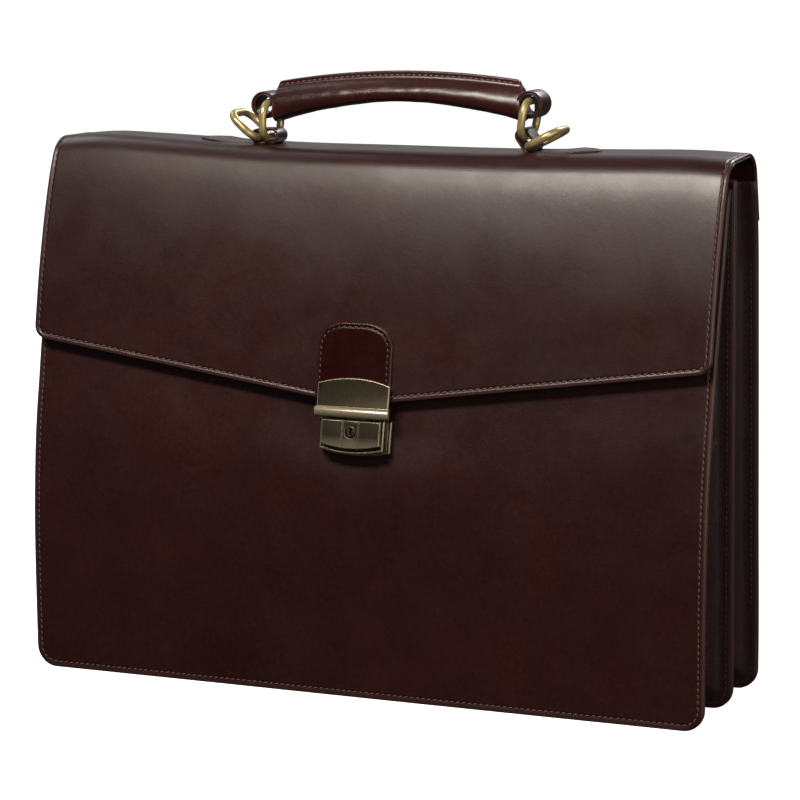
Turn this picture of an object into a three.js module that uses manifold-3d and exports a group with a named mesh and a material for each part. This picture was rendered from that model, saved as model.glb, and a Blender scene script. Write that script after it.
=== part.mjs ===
// Leather laptop briefcase. Three stiff leaves stand one behind the other, joined at their
// sides and bottom by two inward-folding gussets. A flap is sewn to the back leaf, bends over
// the top and closes on the front with a slide lock. A padded handle stands on wire rings that
// two sewn chapes hold. Millimetres, +Z up, the front faces -Y, the case stands on z = 0.
// Depths (y) are measured from the foot of the front leaf; the last lines centre the case.

import * as THREE from 'three';
import { mergeVertices } from 'three/addons/utils/BufferGeometryUtils.js';
import Module from 'manifold-3d';

const wasm = await Module();
wasm.setup();

// Body
const CASE_WIDTH = 400;
const LEAF_THICKNESS = 3;
const LEAF_EDGE = 0.8;
const BOTTOM_CORNER_RADIUS = 12;
const FRONT_TOP = 287;
const DIVIDER_TOP = 291;
const BACK_TOP = 287;
const SEAT_GAP = 0.3;

// Front face of each leaf, seen from the side: y at height z
const FRONT_FACE = [
  { z: 0, y: 1 },
  { z: 40, y: 0 },
  { z: 80, y: -0.4 },
  { z: 110, y: 0.7 },
  { z: 140, y: 3.4 },
  { z: 170, y: 8.5 },
  { z: 190, y: 12 },
  { z: 288, y: 33.5 },
];
const DIVIDER_FACE = [
  { z: 0, y: 53.6 },
  { z: 291, y: 43.4 },
];
const BACK_FACE = [
  { z: 0, y: 101.6 },
  { z: 30, y: 101.2 },
  { z: 110, y: 96.5 },
  { z: 221, y: 89.6 },
  { z: 262, y: 86.3 },
  { z: 276, y: 83.05 },
  { z: 290, y: 79.8 },
];

// Gussets: strips of one width, folded inwards along the middle
const GUSSET_THICKNESS = 1.5;
const GUSSET_HALF_WIDTH = 33;
const GUSSET_MARGIN = 0.6;
const GUSSET_FLANGE = 9;
const GUSSET_FOLD_RADIUS = 1.4;
const GUSSET_CORNER_RADIUS = 4;
const GUSSET_TOP = 287;

// Flap
const FLAP_THICKNESS = 2.8;
const FLAP_BACK_THICKNESS = 1.4;
const FLAP_TOP = 302.9;
// The top sinks under the handle: how far, and where it is level again
const FLAP_SAG = { depth: 3, flatHalf: 122, endHalf: 165 };
const FLAP_BEND_RADIUS = 15;
const FLAP_BACK_EDGE = { y: 90.4, z: 265 };
const FLAP_BACK_SLOPE = -0.232;
const FLAP_FRONT_FOOT = { y: 6.1, z: 196 };
const FLAP_FRONT_SLOPE = 0.2236;
const FLAP_TIP = 164.3;
const FLAP_SIDE_CORNER = 193.5;
const FLAP_CORNER_RADIUS = 8;
const FLAP_LEAN = Math.atan(FLAP_FRONT_SLOPE);

// Reinforcement above the lock, measured up the flap from its tip
const TAB_HALF_WIDTH = 22.1;
const TAB_BOTTOM = 3;
const TAB_TOP = 45.7;
const TAB_CORNER_RADIUS = 12;
const TAB_THICKNESS = 2;

// Lock: x across, "up" along its face, "out" away from the front leaf
const LOCK_HEIGHT = 150;
const LOCK_LEAN = THREE.MathUtils.degToRad(11.2);
const CASE_BASE = { half: 20.7, top: 5.4, side: -12, low: -14.4, from: 0.5, to: 5 };
const CASE_RIM = { half: 18.8, top: 5.4, side: -11.4, low: -13.8, from: 4.5, to: 10.6 };
const SLIDER = { half: 17.4, top: 4.6, side: -8.6, low: -10.9, from: 8, to: 12.9 };
const SLIDER_TRAVEL = 1.5;
const SLIDER_GROOVE = { x: 4.75, width: 0.7, depth: 0.8 };
const HASP_PLATE = { half: 21.2, bottom: 11, side: 24.3, high: 27.8, from: 11.4, to: 12.8 };
const HASP_BAR = { half: 21.7, bottom: 5.9, top: 11.8, from: 11.4, to: 14.6 };
const HASP_TONGUE = { half: 5.5, bottom: -1.5, top: 10.6, web: 8, from: 4.6, to: 6.4 };
const CYLINDER = { up: -1.8, radius: 3.2, from: 9, to: 13.1 };
const KEYWAY = { width: 1, height: 3.6, depth: 2 };
const RUNNING_GAP = 0.3;

// Chapes: straps folded round the lower bars of two rings and sewn down as a pointed base. Each
// loop is drawn about two centres, the one next to the middle of the case first.
const CHAPE_BASE_THICKNESS = 1.6;
const CHAPE_LOOP = { inner: 3.1, outer: 4.3, width: 15.8 };
const CHAPES = {
  chape_left: { hand: -1, from: { x: -74.9, z: 304.5 }, to: { x: -82.1, z: 304.5 } },
  chape_right: { hand: 1, from: { x: 76.2, z: 309.6 }, to: { x: 79.9, z: 304.5 } },
};
// Half the width of the chape base at each distance from the middle of the case
const CHAPE_OUTLINE = [
  { x: 79.8, half: 7.7 },
  { x: 88, half: 8.6 },
  { x: 96, half: 11 },
  { x: 107, half: 11 },
  { x: 113, half: 8.4 },
  { x: 117.5, half: 4.6 },
  { x: 119.6, half: 1.2 },
];

// Rings: round wire, each with its lower bar at x and z, and leaning towards +X
const WIRE_RADIUS = 2.1;
const RING_HALF_WIDTH = 12.3;
const RING_LENGTH = 19.5;
const RING_CORNER_RADIUS = 6;
const RINGS = {
  handle_ring_left: { x: -76.7, z: 303.8, lean: 2.5 },
  handle_ring_right: { x: 76.7, z: 309.3, lean: 9 },
  strap_ring_left: { x: -82.1, z: 303.8, lean: -48 },
  strap_ring_right: { x: 79.9, z: 303.8, lean: 62 },
};

// Handle, resting a little to the right and higher at its right end
const HANDLE_DEPTH = 59;
const HANDLE_SHIFT = 1.4;
const HANDLE_TILT = THREE.MathUtils.degToRad(1.68);
const HANDLE_EYE = { x: 79.2, z: 324.4, inner: 5.3, outer: 7.7, width: 15.4 };
const CORE_STRAP = { half: 73, thickness: 5.2, width: 11 };
const GRIP_HALF_LENGTH = 74;
const GRIP_FIN_SETBACK = 2.2;
const FIN_HALF_THICKNESS = 1.7;
const FIN_HEIGHT = 5;
// The grip at its middle and at its ends: centre height, half height and half width
const GRIP_MIDDLE = { z: 331.65, rise: 6.35, half: 9 };
const GRIP_END = { z: 324.45, rise: 8.15, half: 9.4 };

// Finishes
const LEATHER = { color: '#2c1817', roughness: 0.36, metalness: 0 };
const GUSSET_LEATHER = { color: '#21110f', roughness: 0.45, metalness: 0 };
const TAB_LEATHER = { color: '#3a1314', roughness: 0.34, metalness: 0 };
const ANTIQUE_BRASS = { color: '#8a7c4c', roughness: 0.34, metalness: 1 };
const DARK_BRASS = { color: '#6c6040', roughness: 0.42, metalness: 1 };

// Smooth curve through a table of heights and depths
function depthAt(table, z) {
  const last = table.length - 2;
  const above = table.findIndex((row) => row.z > z);
  const i = above < 0 ? last : THREE.MathUtils.clamp(above - 1, 0, last);
  const slope = (j) => {
    const a = table[Math.max(j - 1, 0)];
    const b = table[Math.min(j + 1, table.length - 1)];
    return (b.y - a.y) / (b.z - a.z);
  };
  const span = table[i + 1].z - table[i].z;
  const t = (z - table[i].z) / span;
  const fromStart = (1 + 2 * t) * (1 - t) ** 2 * table[i].y + t * (1 - t) ** 2 * span * slope(i);
  const fromEnd = t * t * (3 - 2 * t) * table[i + 1].y - t * t * (1 - t) * span * slope(i + 1);
  return fromStart + fromEnd;
}

const frontFace = (z) => depthAt(FRONT_FACE, z);
const dividerFace = (z) => depthAt(DIVIDER_FACE, z);
const backFace = (z) => depthAt(BACK_FACE, z);
const rearOf = (face) => (z) => face(z) + LEAF_THICKNESS;
const flapTop = (x) => {
  const risen = THREE.MathUtils.smoothstep(Math.abs(x), FLAP_SAG.flatHalf, FLAP_SAG.endHalf);
  return FLAP_TOP - FLAP_SAG.depth * (1 - risen);
};
const flapFront = (z) => FLAP_FRONT_FOOT.y + FLAP_FRONT_SLOPE * (z - FLAP_FRONT_FOOT.z);

const range = (count) => Array.from({ length: count }, (_, i) => i);
const between = (a, b, steps) => range(steps + 1).map((i) => THREE.MathUtils.lerp(a, b, i / steps));

// Closed mesh from points and triangles, turned so that its faces point out
function closedGeometry(points, triangles) {
  const [a, b, c] = [new THREE.Vector3(), new THREE.Vector3(), new THREE.Vector3()];
  let volume = 0;
  for (const [i, j, k] of triangles) {
    volume += a.copy(points[i]).dot(b.copy(points[j]).cross(c.copy(points[k])));
  }
  const faces = volume > 0 ? triangles : triangles.map(([i, j, k]) => [i, k, j]);
  const geometry = new THREE.BufferGeometry().setFromPoints(points);
  geometry.setIndex(faces.flat());
  geometry.computeVertexNormals();
  return geometry;
}

// Walls between one closed loop of points and the next
function wallTriangles(loopCount, loopLength, joinEnds) {
  const triangles = [];
  for (const i of range(joinEnds ? loopCount : loopCount - 1)) {
    for (const j of range(loopLength)) {
      const next = (j + 1) % loopLength;
      const low = i * loopLength;
      const high = ((i + 1) % loopCount) * loopLength;
      triangles.push([low + j, low + next, high + next], [low + j, high + next, high + j]);
    }
  }
  return triangles;
}

// Solid through a row of closed loops, with both end loops filled in; flatten gives the plane
// in which an end loop is seen.
function loft(loops, flatten) {
  const length = loops[0].length;
  const triangles = wallTriangles(loops.length, length, false);
  for (const [loop, first, isStart] of [
    [loops[0], 0, true],
    [loops.at(-1), (loops.length - 1) * length, false],
  ]) {
    const outline = loop.map(flatten);
    const clockwise = THREE.ShapeUtils.isClockWise(outline);
    const order = clockwise ? range(length).reverse() : range(length);
    const fill = THREE.ShapeUtils.triangulateShape(order.map((i) => outline[i]), []);
    for (const [i, j, k] of fill) {
      const face = [order[i] + first, order[j] + first, order[k] + first];
      triangles.push(clockwise === isStart ? face : face.reverse());
    }
  }
  return closedGeometry(loops.flat(), triangles);
}

// Boolean work: three.js geometry to solid and back
function solidOf(geometry) {
  const bare = geometry.clone();
  bare.deleteAttribute('normal');
  bare.deleteAttribute('uv');
  const merged = mergeVertices(bare, 1e-4);
  return new wasm.Manifold(new wasm.Mesh({
    numProp: 3,
    vertProperties: new Float32Array(merged.attributes.position.array),
    triVerts: new Uint32Array(merged.index.array),
  }));
}

function geometryOf(solid) {
  const mesh = solid.getMesh();
  const geometry = new THREE.BufferGeometry();
  geometry.setAttribute('position', new THREE.BufferAttribute(mesh.vertProperties, 3));
  geometry.setIndex(new THREE.BufferAttribute(mesh.triVerts, 1));
  geometry.computeVertexNormals();
  return geometry;
}

const joined = (first, ...rest) => rest.reduce((sum, piece) => sum.add(solidOf(piece)), solidOf(first));
const cutBy = (solid, ...cutters) => cutters.reduce((left, piece) => left.subtract(solidOf(piece)), solid);

const briefcase = new THREE.Group();

function addPiece(parent, name, geometry, finish) {
  const mesh = new THREE.Mesh(geometry, new THREE.MeshStandardMaterial(finish));
  mesh.name = name;
  parent.add(mesh);
  return mesh;
}

// Leaves: boards with round bottom corners and softened edges
const LEAF_CORNER_STEPS = 6;
const LEAF_ROWS = 16;

function leafGeometry(face, top) {
  const straight = CASE_WIDTH / 2 - BOTTOM_CORNER_RADIUS;
  const cornerRows = between(0, Math.PI / 2, LEAF_CORNER_STEPS).map((turn) => ({
    z: BOTTOM_CORNER_RADIUS * (1 - Math.cos(turn)),
    half: straight + BOTTOM_CORNER_RADIUS * Math.sin(turn),
  }));
  const sideRows = between(BOTTOM_CORNER_RADIUS, top, LEAF_ROWS).slice(1).map((z) => ({
    z,
    half: CASE_WIDTH / 2,
  }));
  const loops = [...cornerRows, ...sideRows].map(({ z, half }) => {
    const front = face(z);
    const rear = front + LEAF_THICKNESS;
    return [
      [-half + LEAF_EDGE, front],
      [half - LEAF_EDGE, front],
      [half, front + LEAF_EDGE],
      [half, rear - LEAF_EDGE],
      [half - LEAF_EDGE, rear],
      [-half + LEAF_EDGE, rear],
      [-half, rear - LEAF_EDGE],
      [-half, front + LEAF_EDGE],
    ].map(([x, y]) => new THREE.Vector3(x, y, z));
  });
  return loft(loops, (p) => new THREE.Vector2(p.x, p.y));
}

addPiece(briefcase, 'front_panel', leafGeometry(frontFace, FRONT_TOP), LEATHER);
addPiece(briefcase, 'divider_panel', leafGeometry(dividerFace, DIVIDER_TOP), LEATHER);
addPiece(briefcase, 'back_panel', leafGeometry(backFace, BACK_TOP), LEATHER);

// Gussets: a U-shaped strip down one side, along the bottom and up the other side. The strip
// keeps its width, so its fold is deeper where the leaves stand closer together.
const GUSSET_SIDE_STEPS = 6;
const GUSSET_CORNER_STEPS = 5;

const GUSSET_STATIONS = [
  ...between(0, 1, GUSSET_SIDE_STEPS).map((t) => ({ run: 'side', hand: -1, t })),
  ...between(0, 1, GUSSET_CORNER_STEPS).slice(1, -1).map((t) => ({ run: 'corner', hand: -1, t })),
  { run: 'corner', hand: -1, t: 1 },
  { run: 'corner', hand: 1, t: 1 },
  ...between(1, 0, GUSSET_CORNER_STEPS).slice(1, -1).map((t) => ({ run: 'corner', hand: 1, t })),
  ...between(1, 0, GUSSET_SIDE_STEPS).map((t) => ({ run: 'side', hand: 1, t })),
];

// Point on the U at a distance inside the leaf's edge
function rimPoint({ run, hand, t }, inset) {
  const radius = Math.max(BOTTOM_CORNER_RADIUS - inset, GUSSET_CORNER_RADIUS);
  const half = CASE_WIDTH / 2 - inset;
  const turn = run === 'side' ? 0 : t * Math.PI / 2;
  const fall = run === 'side' ? (1 - t) * (GUSSET_TOP - inset - radius) : 0;
  const x = half - radius + radius * Math.cos(turn);
  const z = inset + radius - radius * Math.sin(turn) + fall;
  return { x: hand * x, z };
}

// Middle line of the folded strip: inset from the edge, and side from the mid-plane
function foldLine(gap, depth) {
  const flangeSide = gap / 2 - GUSSET_THICKNESS / 2;
  const flangeEnd = new THREE.Vector2(GUSSET_FLANGE, -flangeSide);
  const foldStart = new THREE.Vector2(depth - GUSSET_FOLD_RADIUS, -GUSSET_FOLD_RADIUS);
  const wall = foldStart.clone().sub(flangeEnd).normalize();
  const bend = new THREE.QuadraticBezierCurve(
    new THREE.Vector2(GUSSET_FLANGE - 4, -flangeSide),
    flangeEnd,
    flangeEnd.clone().addScaledVector(wall, 4),
  );
  const half = [
    new THREE.Vector2(GUSSET_MARGIN, -flangeSide),
    ...bend.getPoints(2),
    foldStart,
    new THREE.Vector2(depth - 0.4 * GUSSET_FOLD_RADIUS, -0.75 * GUSSET_FOLD_RADIUS),
  ];
  const mirrored = half.map((p) => new THREE.Vector2(p.x, -p.y)).reverse();
  return [...half, new THREE.Vector2(depth, 0), ...mirrored];
}

// Both faces of a strip, from its middle line
function stripOutline(line, thickness) {
  const sides = line.map((point, i) => {
    const before = line[Math.max(i - 1, 0)];
    const after = line[Math.min(i + 1, line.length - 1)];
    const along = after.clone().sub(before).normalize();
    const across = new THREE.Vector2(-along.y, along.x).multiplyScalar(thickness / 2);
    return [point.clone().add(across), point.clone().sub(across)];
  });
  return [...sides.map((pair) => pair[0]), ...sides.map((pair) => pair[1]).reverse()];
}

function gussetGeometry(frontSeat, rearSeat) {
  const gapAt = (z) => rearSeat(z) - frontSeat(z) - 2 * SEAT_GAP;
  const middleAt = (z) => (rearSeat(z) + frontSeat(z)) / 2;
  const loops = GUSSET_STATIONS.map((station) => {
    const gap = gapAt(rimPoint(station, 0).z);
    const depth = Math.sqrt(GUSSET_HALF_WIDTH ** 2 - (gap / 2) ** 2);
    return stripOutline(foldLine(gap, depth), GUSSET_THICKNESS).map((p) => {
      const { x, z } = rimPoint(station, p.x);
      return new THREE.Vector3(x, middleAt(z) + p.y * gapAt(z) / gap, z);
    });
  });
  return loft(loops, (p) => new THREE.Vector2(p.x, p.y));
}

addPiece(briefcase, 'gusset_front', gussetGeometry(rearOf(frontFace), dividerFace), GUSSET_LEATHER);
addPiece(briefcase, 'gusset_back', gussetGeometry(rearOf(dividerFace), backFace), GUSSET_LEATHER);

// Flap: straight runs and round bends seen from the side, swept across the width
const FLAP_BEND_STEPS = 7;
const FLAP_CORNER_STEPS = 5;
const FLAP_FLAT_COLUMNS = 2;
const FLAP_RISE_COLUMNS = 4;

// Stations along a bent line in the (y, z) plane, each with its outward direction; "bend"
// counts the bends passed so far.
function bentLine(corners) {
  const stations = [];
  let start = corners[0];
  for (const i of range(corners.length - 1)) {
    const heading = corners[i + 1].clone().sub(corners[i]).normalize();
    const outward = new THREE.Vector2(heading.y, -heading.x);
    if (i === corners.length - 2) {
      stations.push({ point: start, outward, bend: i }, { point: corners[i + 1], outward, bend: i });
      break;
    }
    const nextHeading = corners[i + 2].clone().sub(corners[i + 1]).normalize();
    const turn = Math.acos(heading.dot(nextHeading));
    const setback = FLAP_BEND_RADIUS * Math.tan(turn / 2);
    const end = corners[i + 1].clone().addScaledVector(heading, -setback);
    const centre = end.clone().addScaledVector(outward, -FLAP_BEND_RADIUS);
    stations.push({ point: start, outward, bend: i });
    for (const k of range(FLAP_BEND_STEPS)) {
      const part = k / FLAP_BEND_STEPS;
      const spoke = outward.clone().rotateAround(new THREE.Vector2(), turn * part);
      const point = centre.clone().addScaledVector(spoke, FLAP_BEND_RADIUS);
      stations.push({ point, outward: spoke, bend: i + part });
    }
    start = corners[i + 1].clone().addScaledVector(nextHeading, setback);
  }
  return stations;
}

const cornerLift = (x) => {
  const past = Math.max(Math.abs(x) - (CASE_WIDTH / 2 - FLAP_CORNER_RADIUS), 0);
  return FLAP_CORNER_RADIUS - Math.sqrt(FLAP_CORNER_RADIUS ** 2 - past ** 2);
};

function flapSection(x) {
  const top = flapTop(x);
  const reach = Math.abs(x) / (CASE_WIDTH / 2);
  const frontEnd = THREE.MathUtils.lerp(FLAP_TIP, FLAP_SIDE_CORNER, reach) + cornerLift(x);
  const backEnd = FLAP_BACK_EDGE.z + cornerLift(x);
  const backLine = (z) => FLAP_BACK_EDGE.y + FLAP_BACK_SLOPE * (z - FLAP_BACK_EDGE.z);
  const stations = bentLine([
    new THREE.Vector2(backLine(backEnd), backEnd),
    new THREE.Vector2(backLine(top), top),
    new THREE.Vector2(flapFront(top), top),
    new THREE.Vector2(flapFront(frontEnd), frontEnd),
  ]);
  const outer = stations.map(({ point }) => point);
  const inner = stations.map(({ point, outward, bend }) => {
    const thickness = THREE.MathUtils.lerp(FLAP_BACK_THICKNESS, FLAP_THICKNESS, Math.min(bend, 1));
    return point.clone().addScaledVector(outward, -thickness);
  });
  return [...outer, ...inner.reverse()].map((p) => new THREE.Vector3(x, p.x, p.y));
}

const flapHalfColumns = [
  ...between(0, FLAP_SAG.flatHalf, FLAP_FLAT_COLUMNS),
  ...between(FLAP_SAG.flatHalf, FLAP_SAG.endHalf, FLAP_RISE_COLUMNS).slice(1),
  ...between(0, Math.PI / 2, FLAP_CORNER_STEPS).map(
    (turn) => CASE_WIDTH / 2 - FLAP_CORNER_RADIUS * (1 - Math.sin(turn)),
  ),
];
const flapColumns = [...flapHalfColumns.slice(1).map((x) => -x).reverse(), ...flapHalfColumns];
const flapLoops = flapColumns.map(flapSection);
addPiece(briefcase, 'flap', loft(flapLoops, (p) => new THREE.Vector2(p.y, p.z)), LEATHER);

// Plates stand in a leaning plane: a shape drawn in (across, up) is made thick towards the front
function frontPlate(shape, from, to, soft = 0) {
  const geometry = new THREE.ExtrudeGeometry(shape, {
    depth: to - from - 2 * soft,
    curveSegments: 10,
    bevelEnabled: soft > 0,
    bevelThickness: soft,
    bevelSize: soft,
    bevelOffset: -soft,
    bevelSegments: 1,
  });
  return geometry.translate(0, 0, from + soft).rotateX(Math.PI / 2);
}

const block = (half, from, to, bottom, top) => {
  const box = new THREE.BoxGeometry(2 * half, to - from, top - bottom);
  return box.translate(0, -(from + to) / 2, (bottom + top) / 2);
};

// Reinforcement above the lock
const flapPlane = new THREE.Group();
flapPlane.position.set(0, flapFront(FLAP_TIP), FLAP_TIP);
flapPlane.rotation.x = -FLAP_LEAN;
briefcase.add(flapPlane);

const tabShape = new THREE.Shape();
tabShape.moveTo(-TAB_HALF_WIDTH, TAB_BOTTOM);
tabShape.lineTo(TAB_HALF_WIDTH, TAB_BOTTOM);
const tabShoulder = TAB_TOP - TAB_CORNER_RADIUS;
const tabArcX = TAB_HALF_WIDTH - TAB_CORNER_RADIUS;
tabShape.absarc(tabArcX, tabShoulder, TAB_CORNER_RADIUS, 0, Math.PI / 2, false);
tabShape.absarc(-tabArcX, tabShoulder, TAB_CORNER_RADIUS, Math.PI / 2, Math.PI, false);
const tabGeometry = frontPlate(tabShape, SEAT_GAP, SEAT_GAP + TAB_THICKNESS, 0.4);
addPiece(flapPlane, 'lock_tab', tabGeometry, TAB_LEATHER);

// Lock
const lock = new THREE.Group();
lock.position.set(0, frontFace(LOCK_HEIGHT), LOCK_HEIGHT);
lock.rotation.x = -LOCK_LEAN;
briefcase.add(lock);

// Plate with one bowed edge: straight at flat, level with side at its corners, far at its middle
function bowedShape(half, flat, side, far) {
  const bow = Math.abs(far - side);
  const radius = (half ** 2 + bow ** 2) / (2 * bow);
  const sweep = Math.asin(half / radius);
  const way = Math.sign(far - flat);
  const mid = way * Math.PI / 2;
  const shape = new THREE.Shape();
  shape.moveTo(-half, flat);
  shape.lineTo(half, flat);
  shape.absarc(0, far - way * radius, radius, mid - way * sweep, mid + way * sweep, way < 0);
  return shape;
}

const lockPlate = (size, soft) => {
  const shape = bowedShape(size.half, size.top, size.side, size.low);
  return frontPlate(shape, size.from, size.to, soft);
};

const sliderPocket = {
  half: SLIDER.half + RUNNING_GAP,
  top: CASE_RIM.top + 1,
  side: SLIDER.side - SLIDER_TRAVEL - RUNNING_GAP,
  low: SLIDER.low - SLIDER_TRAVEL - RUNNING_GAP,
  from: SLIDER.from - RUNNING_GAP,
  to: CASE_RIM.to + 1,
};
const tongueSlot = block(
  HASP_TONGUE.half + 0.5,
  HASP_TONGUE.from - 0.4,
  HASP_TONGUE.to + 0.4,
  HASP_TONGUE.bottom - 0.7,
  CASE_BASE.top + 1,
);
const caseSolid = cutBy(
  joined(lockPlate(CASE_BASE, 0.5), lockPlate(CASE_RIM, 0.5)),
  lockPlate(sliderPocket, 0),
  tongueSlot,
);
addPiece(lock, 'lock_case', geometryOf(caseSolid), DARK_BRASS);

const cylinderAlongLock = (radius, from, to) => {
  const cylinder = new THREE.CylinderGeometry(radius, radius, to - from, 20);
  return cylinder.translate(0, -(from + to) / 2, CYLINDER.up);
};
const grooves = [-1, 1].map((hand) => {
  const groove = block(
    SLIDER_GROOVE.width / 2,
    SLIDER.to - SLIDER_GROOVE.depth,
    SLIDER.to + 1,
    SLIDER.low - 1,
    SLIDER.top + 1,
  );
  return groove.translate(hand * SLIDER_GROOVE.x, 0, 0);
});
const sliderSolid = cutBy(
  solidOf(lockPlate(SLIDER, 0.5)),
  ...grooves,
  cylinderAlongLock(CYLINDER.radius + RUNNING_GAP, CYLINDER.from - RUNNING_GAP, SLIDER.to + 1),
);
addPiece(lock, 'lock_slider', geometryOf(sliderSolid), ANTIQUE_BRASS);

const keyway = block(
  KEYWAY.width / 2,
  CYLINDER.to - KEYWAY.depth,
  CYLINDER.to + 1,
  -KEYWAY.height / 2,
  KEYWAY.height / 2,
);
const cylinderSolid = cutBy(
  solidOf(cylinderAlongLock(CYLINDER.radius, CYLINDER.from, CYLINDER.to)),
  keyway.translate(0, 0, CYLINDER.up),
);
addPiece(lock, 'lock_cylinder', geometryOf(cylinderSolid), ANTIQUE_BRASS);

const barProfile = [
  [HASP_BAR.from, HASP_BAR.bottom],
  ...between(-Math.PI / 2, Math.PI / 2, 8).map((turn) => [
    HASP_BAR.from + 0.4 + (HASP_BAR.to - HASP_BAR.from - 0.4) * Math.cos(turn),
    (HASP_BAR.bottom + HASP_BAR.top) / 2 + (HASP_BAR.top - HASP_BAR.bottom) / 2 * Math.sin(turn),
  ]),
  [HASP_BAR.from, HASP_BAR.top],
];
const barLoops = [-HASP_BAR.half, HASP_BAR.half].map(
  (x) => barProfile.map(([out, up]) => new THREE.Vector3(x, -out, up)),
);
const haspShape = bowedShape(HASP_PLATE.half, HASP_PLATE.bottom, HASP_PLATE.side, HASP_PLATE.high);
const haspSolid = joined(
  loft(barLoops, (p) => new THREE.Vector2(p.y, p.z)),
  frontPlate(haspShape, HASP_PLATE.from, HASP_PLATE.to, 0.4),
  block(HASP_TONGUE.half, HASP_TONGUE.from, HASP_BAR.from + 1, HASP_TONGUE.web, HASP_TONGUE.top),
  block(HASP_TONGUE.half, HASP_TONGUE.from, HASP_TONGUE.to, HASP_TONGUE.bottom, HASP_TONGUE.top),
);
addPiece(lock, 'hasp_plate', geometryOf(haspSolid), ANTIQUE_BRASS);

// Handle fittings, in a group on the handle's mid-plane
const handle = new THREE.Group();
handle.position.y = HANDLE_DEPTH;
briefcase.add(handle);

// A round or long outline about two centres, drawn in (x, z)
function loopShape(from, to, radius) {
  const heading = Math.atan2(to.z - from.z, to.x - from.x);
  const shape = new THREE.Shape();
  shape.absarc(to.x, to.z, radius, heading - Math.PI / 2, heading + Math.PI / 2, false);
  shape.absarc(from.x, from.z, radius, heading + Math.PI / 2, heading + 3 * Math.PI / 2, false);
  return shape;
}

function alongDepth(shape, width) {
  const geometry = new THREE.ExtrudeGeometry(shape, { depth: width, bevelEnabled: false, curveSegments: 12 });
  return geometry.translate(0, 0, -width / 2).rotateX(Math.PI / 2);
}

// Chapes
function chapeGeometry({ hand, from, to }) {
  const edge = CHAPE_OUTLINE.map(({ x, half }) => new THREE.Vector2(hand * x, half));
  const outline = [...edge, ...edge.map((p) => new THREE.Vector2(p.x, -p.y)).reverse()];
  const base = new THREE.ExtrudeGeometry(new THREE.Shape(outline), {
    depth: CHAPE_BASE_THICKNESS,
    bevelEnabled: false,
  });
  const loop = alongDepth(loopShape(from, to, CHAPE_LOOP.outer), CHAPE_LOOP.width);
  const hollow = alongDepth(loopShape(from, to, CHAPE_LOOP.inner), CASE_WIDTH);
  return geometryOf(cutBy(joined(base.translate(0, 0, flapTop(0) + SEAT_GAP), loop), hollow));
}

for (const [name, size] of Object.entries(CHAPES)) {
  addPiece(handle, name, chapeGeometry(size), LEATHER);
}

// Rings: round wire bent to a rectangle with round corners, standing on its lower bar
const RING_CORNER_STEPS = 4;
const RING_SIDES = 10;

function ringGeometry() {
  const acrossArc = RING_HALF_WIDTH - RING_CORNER_RADIUS;
  const corners = [
    { y: acrossArc, z: RING_CORNER_RADIUS, start: -Math.PI / 2 },
    { y: acrossArc, z: RING_LENGTH - RING_CORNER_RADIUS, start: 0 },
    { y: -acrossArc, z: RING_LENGTH - RING_CORNER_RADIUS, start: Math.PI / 2 },
    { y: -acrossArc, z: RING_CORNER_RADIUS, start: Math.PI },
  ];
  const loops = corners.flatMap(({ y, z, start }) => (
    between(start, start + Math.PI / 2, RING_CORNER_STEPS).map((turn) => (
      range(RING_SIDES).map((side) => {
        const around = 2 * Math.PI * side / RING_SIDES;
        const reach = RING_CORNER_RADIUS + WIRE_RADIUS * Math.cos(around);
        return new THREE.Vector3(
          WIRE_RADIUS * Math.sin(around),
          y + reach * Math.cos(turn),
          z + reach * Math.sin(turn),
        );
      })
    ))
  ));
  return closedGeometry(loops.flat(), wallTriangles(loops.length, RING_SIDES, true));
}

for (const [name, { x, z, lean }] of Object.entries(RINGS)) {
  const ring = addPiece(handle, name, ringGeometry(), ANTIQUE_BRASS);
  ring.position.set(x, 0, z);
  ring.rotation.y = THREE.MathUtils.degToRad(lean);
}

// The handle turns about its middle, at the height of its eyes
const carry = new THREE.Group();
carry.position.set(HANDLE_SHIFT, 0, HANDLE_EYE.z);
carry.rotation.y = -HANDLE_TILT;
handle.add(carry);

// Core strap: an arched band with a rolled eye at each end
const GRIP_STEPS = 14;
const arch = (x) => 1 - (x / GRIP_HALF_LENGTH) ** 2;
const gripValue = (key, x) => THREE.MathUtils.lerp(GRIP_END[key], GRIP_MIDDLE[key], arch(x));

function bandGeometry(halfLength, thickness, width) {
  const loops = between(-halfLength, halfLength, GRIP_STEPS).map((x) => {
    const z = gripValue('z', x);
    return [[-1, -1], [1, -1], [1, 1], [-1, 1]].map(
      ([across, up]) => new THREE.Vector3(x, across * width / 2, z + up * thickness / 2),
    );
  });
  return loft(loops, (p) => new THREE.Vector2(p.y, p.z));
}

const EYE_CENTRES = [-1, 1].map((hand) => ({ x: hand * HANDLE_EYE.x, z: HANDLE_EYE.z }));
const eyeRollers = (radius, width) => EYE_CENTRES.map(
  (eye) => alongDepth(loopShape(eye, eye, radius), width),
);
const strapSolid = cutBy(
  joined(
    bandGeometry(CORE_STRAP.half, CORE_STRAP.thickness, CORE_STRAP.width),
    ...eyeRollers(HANDLE_EYE.outer, HANDLE_EYE.width),
  ),
  ...eyeRollers(HANDLE_EYE.inner, CASE_WIDTH),
);
const handleStrap = addPiece(carry, 'handle_strap', geometryOf(strapSolid), LEATHER);
handleStrap.position.z = -HANDLE_EYE.z;

// Grip: a padded wrap whose edges are sewn together as a fin along the top, with room inside
// for the core strap and its eyes
const GRIP_ROUND_STEPS = 12;

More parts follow.
